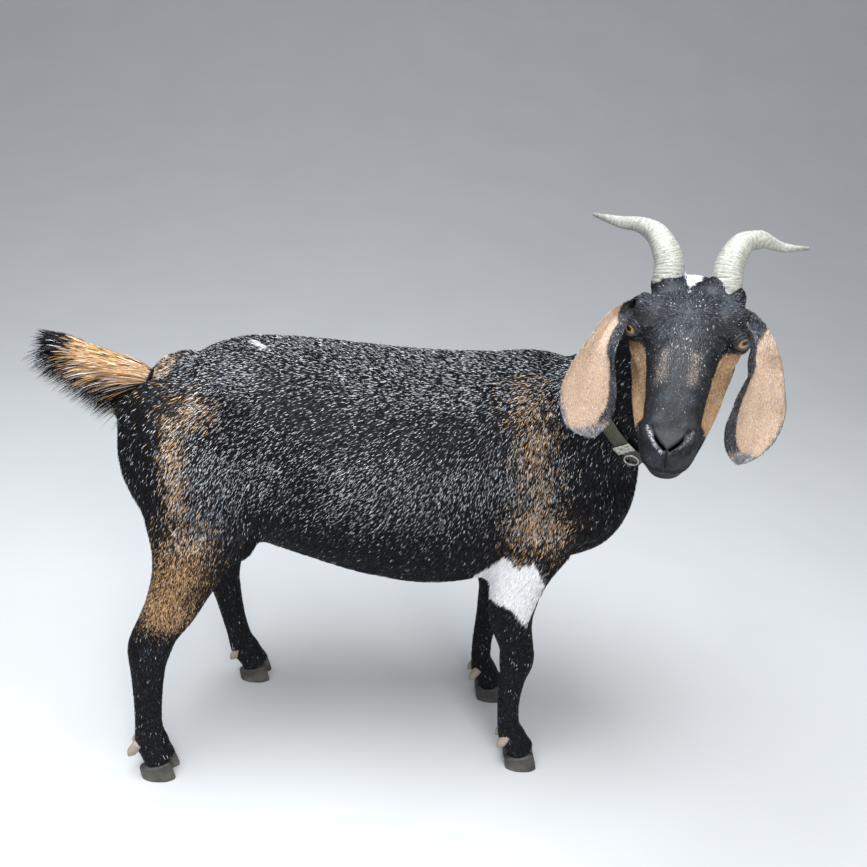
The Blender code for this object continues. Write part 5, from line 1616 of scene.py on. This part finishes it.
def put(tree, kind, sockets=None, **settings):
    """Add a node, set its choices, and feed its sockets."""
    node = tree.nodes.new(kind)
    for name, value in settings.items():
        setattr(node, name, value)
    for key, value in (sockets or {}).items():
        feed(tree, node.inputs[key], value)
    return node


def maths(tree, operation, a, b=None, clamp=False):
    """A sum on one or two values."""
    sockets = {0: a} if b is None else {0: a, 1: b}
    return put(tree, "ShaderNodeMath", sockets, operation=operation, use_clamp=clamp).outputs[0]


def blend(tree, share, a, b):
    """Mix two colours."""
    node = put(tree, "ShaderNodeMix", {0: share, 6: a, 7: b}, data_type="RGBA",
               clamp_factor=True)
    return node.outputs[2]


def stored(tree, name, output="Fac"):
    """Values kept on the points of a piece."""
    return put(tree, "ShaderNodeAttribute", attribute_name=name).outputs[output]


def between(tree, value, low, high, out_low=0.0, out_high=1.0):
    """A soft step from out_low to out_high as a value goes from low to high."""
    node = put(tree, "ShaderNodeMapRange", {0: value, 1: low, 2: high, 3: out_low, 4: out_high},
               interpolation_type="SMOOTHSTEP")
    return node.outputs[0]


def noise(tree, place, scale, detail=3.0, rough=0.55):
    """Cloudy noise from 0 to 1."""
    return put(tree, "ShaderNodeTexNoise", {"Vector": place, "Scale": scale, "Detail": detail,
                                            "Roughness": rough}).outputs["Fac"]


def group(name, takes, gives):
    """A new node group with named sockets; gives its tree, its input and output nodes."""
    tree = bpy.data.node_groups.new(name, "ShaderNodeTree")
    for socket, kind, value in takes:
        made = tree.interface.new_socket(socket, in_out="INPUT", socket_type=kind)
        if value is not None:
            made.default_value = value
    for socket, kind in gives:
        tree.interface.new_socket(socket, in_out="OUTPUT", socket_type=kind)
    return tree, tree.nodes.new("NodeGroupInput"), tree.nodes.new("NodeGroupOutput")


COLOUR, NUMBER, WAY = "NodeSocketColor", "NodeSocketFloat", "NodeSocketVector"


# The darkest and the palest hair of each kind; the bluish grey is partly real grey hair and
# partly painted sheen
BLACK_HAIR = ((0.0022, 0.0023, 0.0029, 1), (0.0078, 0.0077, 0.0088, 1))
GREY_AND_SHEEN_HAIR = ((0.100, 0.115, 0.142, 1), (0.29, 0.325, 0.385, 1))
TAN_HAIR = ((0.235, 0.112, 0.036, 1), (0.68, 0.385, 0.140, 1))
WHITE_HAIR = ((0.72, 0.725, 0.73, 1), (0.89, 0.895, 0.90, 1))
DUST_COLOUR = (0.24, 0.21, 0.17, 1)


def make_hair_colour():
    """Black hair with shares of grey, tan and white, each hair a little different; the bluish
    grey also serves as painted sheen.
    """
    tree, take, give = group(
        "hair_colour",
        [("Marks", COLOUR, None), ("Chance", NUMBER, 0.5), ("Along", NUMBER, 0.5)],
        [("Color", COLOUR)])
    parts = put(tree, "ShaderNodeSeparateColor", {0: take.outputs["Marks"]})
    chance = take.outputs["Chance"]
    tone = blend(tree, chance, *BLACK_HAIR)
    for share, pair in (("Blue", GREY_AND_SHEEN_HAIR), ("Red", TAN_HAIR), ("Green", WHITE_HAIR)):
        tone = blend(tree, parts.outputs[share], tone, blend(tree, chance, *pair))
    tips = between(tree, take.outputs["Along"], 0.0, 1.0, 0.80, 1.15)
    bright = put(tree, "ShaderNodeVectorMath", {0: tone, "Scale": tips}, operation="SCALE")
    tree.links.new(bright.outputs[0], give.inputs["Color"])
    return tree


def make_grain():
    """Fine bumps for leather, horn or cloth: a mask of pores and a height."""
    tree, take, give = group(
        "fine_grain",
        [("Place", WAY, None), ("Fineness", NUMBER, 600.0), ("Depth", NUMBER, 0.5)],
        [("Height", NUMBER), ("Mask", NUMBER)])
    cells = put(tree, "ShaderNodeTexVoronoi",
                {"Vector": take.outputs["Place"], "Scale": take.outputs["Fineness"]},
                feature="DISTANCE_TO_EDGE")
    crease = between(tree, cells.outputs["Distance"], 0.0, 0.25)
    soft = noise(tree, take.outputs["Place"], take.outputs["Fineness"], 4.0)
    both = maths(tree, "ADD", maths(tree, "MULTIPLY", crease, take.outputs["Depth"]), soft)
    tree.links.new(both, give.inputs["Height"])
    tree.links.new(crease, give.inputs["Mask"])
    return tree


def make_dust():
    """Pale dust that lies in patches and near the ground."""
    tree, take, give = group(
        "dust",
        [("Color", COLOUR, None), ("Place", WAY, None), ("Amount", NUMBER, 0.3),
         ("Height", NUMBER, 0.0)],
        [("Color", COLOUR), ("Mask", NUMBER)])
    patches = noise(tree, take.outputs["Place"], 30.0, 6.0, 0.65)
    low = between(tree, take.outputs["Height"], 0.0, 1.0, 1.0, 0.25)
    amount = maths(tree, "MULTIPLY", take.outputs["Amount"], low)
    mask = maths(tree, "MULTIPLY", between(tree, patches, 0.35, 0.7), amount, clamp=True)
    tone = blend(tree, mask, take.outputs["Color"], DUST_COLOUR)
    tree.links.new(tone, give.inputs["Color"])
    tree.links.new(mask, give.inputs["Mask"])
    return tree


HAIR_COLOUR, GRAIN, DUST = make_hair_colour(), make_grain(), make_dust()


def new_material(name, roughness=0.5, **constants):
    """A material with its tree, its shader and the place on the piece."""
    material = bpy.data.materials.new(name)
    material.use_nodes = True
    tree = material.node_tree
    shader = tree.nodes["Principled BSDF"]
    shader.inputs["Roughness"].default_value = roughness
    for socket, value in constants.items():
        shader.inputs[socket.replace("_", " ")].default_value = value
    place = put(tree, "ShaderNodeTexCoord").outputs["Object"]
    return material, tree, shader, place


def with_group(tree, made, sockets):
    """What one of the shared groups gives for its sockets."""
    return put(tree, "ShaderNodeGroup", sockets, node_tree=made).outputs


def hair_tone(tree, chance, along):
    """The colour of hair by the marks kept on a piece; chance None takes each hair's own."""
    marks = put(tree, "ShaderNodeAttribute", attribute_name="coat_marks").outputs
    if chance is None:
        chance = marks["Alpha"]
    return with_group(tree, HAIR_COLOUR, {"Marks": marks["Color"], "Chance": chance,
                                          "Along": along})["Color"]


def grained(tree, place, fineness, depth):
    """The height and the mask of fine bumps."""
    grain = with_group(tree, GRAIN, {"Place": place, "Fineness": fineness, "Depth": depth})
    return grain["Height"], grain["Mask"]


def dusted(tree, tone, place, amount, height):
    """A colour with dust on it."""
    return with_group(tree, DUST, {"Color": tone, "Place": place, "Amount": amount,
                                   "Height": height})["Color"]


def stored_parts(tree, name):
    """The three values kept on the points of a piece, each by itself."""
    parts = put(tree, "ShaderNodeSeparateXYZ", {0: stored(tree, name, "Vector")})
    return [parts.outputs[k] for k in range(3)]


def weighted(tree, a, share, b, other=1.0):
    """The sum of two values, each times its own share."""
    return maths(tree, "ADD", maths(tree, "MULTIPLY", a, share), maths(tree, "MULTIPLY", b, other))


def finish(tree, shader, colour, rough, height, distance, strength):
    """Give a shader its colour, its roughness and its bumps."""
    bump = put(tree, "ShaderNodeBump", {"Height": height, "Distance": distance,
                                        "Strength": strength})
    feed(tree, shader.inputs["Base Color"], colour)
    feed(tree, shader.inputs["Roughness"], rough)
    feed(tree, shader.inputs["Normal"], bump.outputs["Normal"])


def hair_material(name, roughness=0.36, specular=0.08):
    """Glossy hair that takes its colour from the marks stored on each blade."""
    material, tree, shader, place = new_material(name, roughness)
    shader.inputs["Specular IOR Level"].default_value = specular
    tone = hair_tone(tree, None, stored(tree, "hair_along"))
    streak = noise(tree, place, 900.0, 2.0)
    rough = between(tree, streak, 0.3, 0.7, roughness - 0.06, roughness + 0.08)
    finish(tree, shader, tone, rough, streak, 0.0002, 0.5)
    return material


def skin_material():
    """Dark skin seen between the hairs, and the bare leather of the nose and lips, with painted
    shade deep in the creases of the nostrils, the lip and the mouth.
    """
    material, tree, shader, place = new_material("goat_skin", 0.55)
    # painted shade: deep in the creases of the nostrils, the lip and the mouth the skin is darkened
    # and loses its reflection
    deep = stored(tree, "deep")
    feed(tree, shader.inputs["Specular IOR Level"], between(tree, deep, 0.0, 1.0, 0.25, 0.0))
    speck = noise(tree, place, 1400.0, 2.0)
    bare = stored(tree, "bare")
    leather = blend(tree, speck, (0.022, 0.021, 0.024, 1), (0.060, 0.057, 0.060, 1))
    colour = blend(tree, bare, hair_tone(tree, speck, 0.0), leather)
    # painted shade in the deep creases
    colour = blend(tree, deep, colour, (0.0015, 0.0014, 0.0015, 1))
    height, mask = grained(tree, place, 750.0, maths(tree, "MULTIPLY", bare, 0.9))
    rough = between(tree, mask, 0.0, 1.0, 0.62, 0.42)
    finish(tree, shader, colour, rough, height, 0.0004, 0.8)
    return material


def ear_skin_material():
    """Ear skin in the colour of its hair, with pinkish veins."""
    material, tree, shader, place = new_material("ear_skin", 0.6)
    tone = hair_tone(tree, noise(tree, place, 900.0, 3.0), 0.3)
    veins = put(tree, "ShaderNodeTexVoronoi", {"Vector": place, "Scale": 55.0},
                feature="DISTANCE_TO_EDGE").outputs["Distance"]
    vein = between(tree, veins, 0.0, 0.08, 0.35, 0.0)
    pink = blend(tree, vein, tone, (0.28, 0.17, 0.10, 1))
    height, mask = grained(tree, place, 500.0, 0.5)
    rough = between(tree, mask, 0.0, 1.0, 0.7, 0.5)
    finish(tree, shader, pink, rough, height, 0.0003, 0.7)
    return material


def lid_material():
    """Dark bare lid skin, wet at its inner edge."""
    material, tree, shader, place = new_material("eyelid_skin", 0.5)
    reach = stored(tree, "lid_reach")
    height, mask = grained(tree, place, 900.0, 0.8)
    dark = blend(tree, mask, (0.006, 0.006, 0.007, 1), (0.022, 0.021, 0.024, 1))
    rough = between(tree, reach, 0.05, 0.30, 0.15, 0.50)
    finish(tree, shader, dark, rough, height, 0.0003, 0.7)
    return material


# The eye, from its middle out as shares of its radius: the iris darkens at its rim and
# ends at the white; the pupil's half width and half height
IRIS_RIM = (0.52, 0.70)
IRIS_END = (0.70, 0.76)
PUPIL = (0.40, 0.17)


def eye_material():
    """Amber iris with fine spokes, a flat dark pupil and a wet surface."""
    material, tree, shader, _ = new_material("goat_eye", 0.12, Coat_Weight=1.0,
                                             Coat_Roughness=0.02)
    x, y, ahead = stored_parts(tree, "eye_place")
    flat = put(tree, "ShaderNodeCombineXYZ", {0: x, 1: y})
    far = put(tree, "ShaderNodeVectorMath", {0: flat.outputs[0]}, operation="LENGTH").outputs[1]
    angle = maths(tree, "ARCTAN2", y, x)
    polar = put(tree, "ShaderNodeCombineXYZ", {0: maths(tree, "MULTIPLY", angle, 9.0),
                                               1: maths(tree, "MULTIPLY", far, 4.0)})
    spokes = noise(tree, polar.outputs[0], 2.6, 5.0, 0.7)
    amber = blend(tree, spokes, (0.11, 0.045, 0.012, 1), (0.43, 0.22, 0.070, 1))
    iris = blend(tree, between(tree, far, *IRIS_RIM), amber, (0.055, 0.026, 0.012, 1))
    white = blend(tree, between(tree, far, *IRIS_END), iris, (0.16, 0.11, 0.085, 1))
    reaches = []
    for value, half, power in ((x, PUPIL[0], 4.0), (y, PUPIL[1], 3.0)):
        share = maths(tree, "ABSOLUTE", maths(tree, "DIVIDE", value, half))
        reaches.append(maths(tree, "POWER", share, power))
    slot = between(tree, maths(tree, "ADD", *reaches), 0.8, 1.15, 1.0, 0.0)
    facing = maths(tree, "GREATER_THAN", ahead, 0.0)
    colour = blend(tree, maths(tree, "MULTIPLY", slot, facing), white, (0.003, 0.003, 0.004, 1))
    rough = between(tree, spokes, 0.3, 0.7, 0.10, 0.18)
    finish(tree, shader, colour, rough, spokes, 0.00012, 0.3)
    return material


# The palest and the darkest tone of the horns, the claws and the dewclaws
HORN_TONES = ((0.44, 0.445, 0.395, 1), (0.22, 0.22, 0.18, 1))
CLAW_TONES = ((0.046, 0.042, 0.039, 1), (0.012, 0.011, 0.010, 1))
DEWCLAW_TONES = ((0.36, 0.30, 0.23, 1), (0.21, 0.16, 0.12, 1))


def horn_material(name, pale, dark, dusty, rings=True):
    """Horn with growth lines, streaks along it and dust."""
    material, tree, shader, place = new_material(name, 0.5)
    along, ridge, angle = stored_parts(tree, "horn_place")
    drawn = put(tree, "ShaderNodeCombineXYZ", {0: maths(tree, "MULTIPLY", along, 60.0), 1: angle})
    streaks = noise(tree, drawn.outputs[0], 1.4, 5.0)
    speck = noise(tree, place, 260.0, 6.0, 0.7)
    share = weighted(tree, streaks, 0.6, speck, 0.5)
    tone = blend(tree, between(tree, share, 0.35, 0.75), dark, pale)
    if rings:
        groove = between(tree, ridge, 0.0, 0.55, 0.75, 0.0)
        tone = blend(tree, groove, tone, (dark[0] * 0.5, dark[1] * 0.45, dark[2] * 0.4, 1))
        tip = between(tree, along, 0.86, 1.0, 0.0, 0.55)
        tone = blend(tree, tip, tone, (0.10, 0.085, 0.070, 1))
    height = weighted(tree, streaks, 1.5, grained(tree, place, 420.0, 0.4)[0])
    rough = between(tree, speck, 0.3, 0.7, 0.42, 0.62)
    finish(tree, shader, dusted(tree, tone, place, dusty, along), rough, height, 0.0006, 0.7)
    return material


# Fineness of the twill, in radians per metre
THREADS = 1200.0


def webbing_material():
    """Olive-green webbing: a close twill, fuzzy and a little dusty."""
    material, tree, shader, place = new_material("collar_webbing", 0.8)
    along, across, _ = stored_parts(tree, "band_place")
    along = maths(tree, "MULTIPLY", along, THREADS)
    across = maths(tree, "MULTIPLY", across, THREADS)
    twill = maths(tree, "SINE", maths(tree, "ADD", along, across))
    warp = maths(tree, "SINE", maths(tree, "MULTIPLY", across, 3.0))
    weave = weighted(tree, twill, 0.5, warp, 0.25)
    fuzz = noise(tree, place, 1500.0, 4.0)
    shade = maths(tree, "ADD", weave, fuzz)
    tone = blend(tree, between(tree, shade, -0.2, 1.2), (0.013, 0.015, 0.008, 1),
                 (0.066, 0.072, 0.038, 1))
    rough = between(tree, fuzz, 0.3, 0.7, 0.72, 0.92)
    finish(tree, shader, dusted(tree, tone, place, 0.35, 0.3), rough, shade, 0.0004, 0.9)
    return material


def keeper_material():
    """A pale worn plate, scuffed and dusty."""
    material, tree, shader, place = new_material("collar_keeper_pale", 0.5)
    scuff = noise(tree, place, 330.0, 6.0, 0.75)
    tone = blend(tree, between(tree, scuff, 0.40, 0.58), (0.10, 0.105, 0.085, 1),
                 (0.60, 0.61, 0.54, 1))
    rough = between(tree, scuff, 0.3, 0.7, 0.35, 0.65)
    finish(tree, shader, dusted(tree, tone, place, 0.4, 0.3), rough, scuff, 0.0002, 0.6)
    return material


def metal_material():
    """Dull plated wire with fine scratches and tarnish."""
    material, tree, shader, place = new_material("collar_ring_metal", 0.3, Metallic=1.0)
    scratch = noise(tree, place, 1600.0, 5.0, 0.8)
    tarnish = noise(tree, place, 240.0, 4.0)
    tone = blend(tree, between(tree, tarnish, 0.45, 0.7), (0.52, 0.50, 0.47, 1),
                 (0.17, 0.14, 0.11, 1))
    rough = between(tree, scratch, 0.3, 0.7, 0.22, 0.55)
    finish(tree, shader, tone, rough, scratch, 0.0001, 0.5)
    return material


def floor_material():
    """Plain pale studio paper."""
    material, tree, shader, place = new_material("studio_floor", 0.75)
    soft = noise(tree, place, 3.0, 4.0)
    tone = blend(tree, soft, (0.46, 0.457, 0.45, 1), (0.51, 0.507, 0.50, 1))
    tree.links.new(tone, shader.inputs["Base Color"])
    return material


# The whole goat

# How deep the face's creases are where their painted shade begins, and where it is darkest
CREASE_SHADE_FROM = (0.0016, 0.0036)


def dress(thing, material, slot_name, *nodes):
    """Give a piece its material, hang it under the root, and hide the CAD pieces that it stands
    for.
    """
    thing.data.materials.append(material)
    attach(thing, "root")
    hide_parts(*nodes)


# The floor: where it starts in front, where its sweep starts, its radius and half width
FLOOR_FRONT = -6.0
FLOOR_BACK = 2.0
SWEEP = 6.0
FLOOR_HALF = 9.0
# Each light's place, width, power and tint
LIGHTS = {
    "sky_light": ((-0.5, -0.6, 3.2), 2.2, 185, (0.88, 0.94, 1.0)),
    "front_light": ((0.6, -3.2, 2.6), 1.8, 100, (1.0, 0.98, 0.96)),
}
LIT_PLACE = (0, 0, 0.5)
SKY_TINT = (0.80, 0.86, 0.95, 1)
SKY_STRENGTH = 0.55
SENSOR_WIDTH = 36.0


def set_floor():
    """A pale floor that sweeps up behind the goat."""
    angle = np.linspace(0, 0.5 * math.pi, 50)
    run = np.append((FLOOR_FRONT, -FLOOR_BACK), FLOOR_BACK + SWEEP * np.sin(angle))
    rise = np.append((0.0, 0.0), SWEEP * (1 - np.cos(angle)))
    width = np.linspace(-FLOOR_HALF, FLOOR_HALF, 12)
    rows = np.broadcast_arrays(width, run[:, None], rise[:, None])
    points, faces = loft(np.stack(rows, 2), close=False, caps=False)
    floor = solid_mesh("studio_floor", points - SHIFT, faces)
    floor.data.materials.append(floor_material())


def set_lights():
    """Two soft lights and a pale sky."""
    for name, (place, size, power, tint) in LIGHTS.items():
        data = bpy.data.lights.new(name, "AREA")
        data.shape = "DISK"
        data.size = size
        data.energy = power
        data.color = tint
        light = in_scene(name, data)
        light.location = place
        way = Vector(LIT_PLACE) - Vector(place)
        light.rotation_euler = way.to_track_quat("-Z", "Y").to_euler()
    world = bpy.data.worlds.new("studio_world")
    world.use_nodes = True
    sky = world.node_tree.nodes["Background"]
    sky.inputs["Color"].default_value = SKY_TINT
    sky.inputs["Strength"].default_value = SKY_STRENGTH
    bpy.context.scene.world = world
    bpy.context.scene.view_settings.view_transform = "Standard"


def set_camera():
    """The camera, where the photo was taken from."""
    data = bpy.data.cameras.new("camera")
    data.sensor_width = SENSOR_WIDTH
    data.lens = SENSOR_WIDTH * CAMERA_FOCAL
    camera = in_scene("camera", data)
    right, ahead = unit(CAMERA_RIGHT), unit(CAMERA_AHEAD)
    up = np.cross(right, ahead)
    c, s = math.cos(CAMERA_ROLL), math.sin(CAMERA_ROLL)
    axes = (right * c + up * s, up * c - right * s, -ahead)
    turn = Matrix([[axes[k][row] for k in range(3)] for row in range(3)])
    camera.matrix_world = Matrix.Translation(CAMERA_PLACE + SHIFT) @ turn.to_4x4()
    bpy.context.scene.camera = camera


def keep_marks(thing, shares):
    """Store the shares of tan, white and grey hair on a skin."""
    keep_values(thing, "coat_marks", np.hstack([shares, np.zeros((len(shares), 1))]))


def dress_skin(skin_look, hair):
    """The skin over all the flesh, and its coat."""
    points, faces, sunk = skin_arrays()
    skin = solid_mesh("goat_skin", points, faces)
    keep_marks(skin, marks_of(points))
    keep_values(skin, "bare", bare_places(points, sunk))
    # painted shade in the deep creases of the nose and mouth
    keep_values(skin, "deep", ramp(sunk, *CREASE_SHADE_FROM))
    dress(skin, skin_look, "coat_black", *FLESH)
    for piece in grow_coat(points, faces, sunk):
        dress(piece, hair, "coat_black", *FLESH)


def dress_ears():
    """Both ears, with their short coat."""
    ear_skin, ear_hair = ear_skin_material(), hair_material("ear_hair", 0.5, 0.25)
    for side in SIDES:
        shape = ear_shape(side)
        made = solid_mesh(f"ear_{side}_skin", shape[0], shape[1])
        keep_marks(made, ear_marks(side, shape[0], *shape[2:5]))
        dress(made, ear_skin, "coat_tan", f"ear_{side}")
        for piece in grow_ear(side, shape):
            dress(piece, ear_hair, "coat_tan", f"ear_{side}")


def dress_tail(skin_look, hair):
    """The tail's flesh and its long hair."""
    points, faces = tail_core()
    core = solid_mesh("tail_core", points, faces)
    keep_marks(core, np.zeros((len(points), 3)))
    for name in ("bare", "deep"):
        keep_values(core, name, np.zeros(len(points)))
    dress(core, skin_look, "coat_black", "tail")
    for piece in grow_tail(points, faces):
        dress(piece, hair, "coat_black", "tail")


def dress_eyes_and_horns(hair):
    """The eyeballs, their lids and lashes, and the horns."""
    eye, lid = eye_material(), lid_material()
    horn = horn_material("goat_horn", *HORN_TONES, 0.12)
    for side in SIDES:
        dress(add_eye(side), eye, "eye", f"eye_{side}")
        dress(add_lid(side), lid, "coat_black", "head")
        for piece in add_lashes(side):
            dress(piece, hair, "coat_black", "head")
        dress(add_horn(side), horn, "horn", f"horn_{side}")


def dress_feet():
    """The claws and the dewclaws."""
    hoof = horn_material("goat_hoof", *CLAW_TONES, 0.45, False)
    beige = horn_material("goat_dewclaw", *DEWCLAW_TONES, 0.4, False)
    for name, foot in FEET.items():
        for side, inner in SIDES.items():
            dress(add_claw(foot, inner, f"claw_{name}_{side}"), hoof, "hoof",
                  f"hoof_{name}_{side}")
            dress(add_dewclaw(foot, inner, f"dew_{name}_{side}"), beige, "dewclaw",
                  f"dewclaw_{name}_{side}")


def dress_collar():
    """The band, its keeper plate and its ring."""
    dress(add_collar(), webbing_material(), "webbing", "collar_band")
    dress(refined("collar_keeper", "keeper_plate", KEEPER_EDGE), keeper_material(), "keeper",
          "collar_keeper")
    dress(refined("collar_ring", "ring_wire", 0.0), metal_material(), "ring_metal",
          "collar_ring")


goat_hair, goat_skin = hair_material("goat_hair"), skin_material()
dress_skin(goat_skin, goat_hair)
dress_ears()
dress_tail(goat_skin, goat_hair)
dress_eyes_and_horns(goat_hair)
dress_feet()
dress_collar()
set_floor()
set_lights()
set_camera()
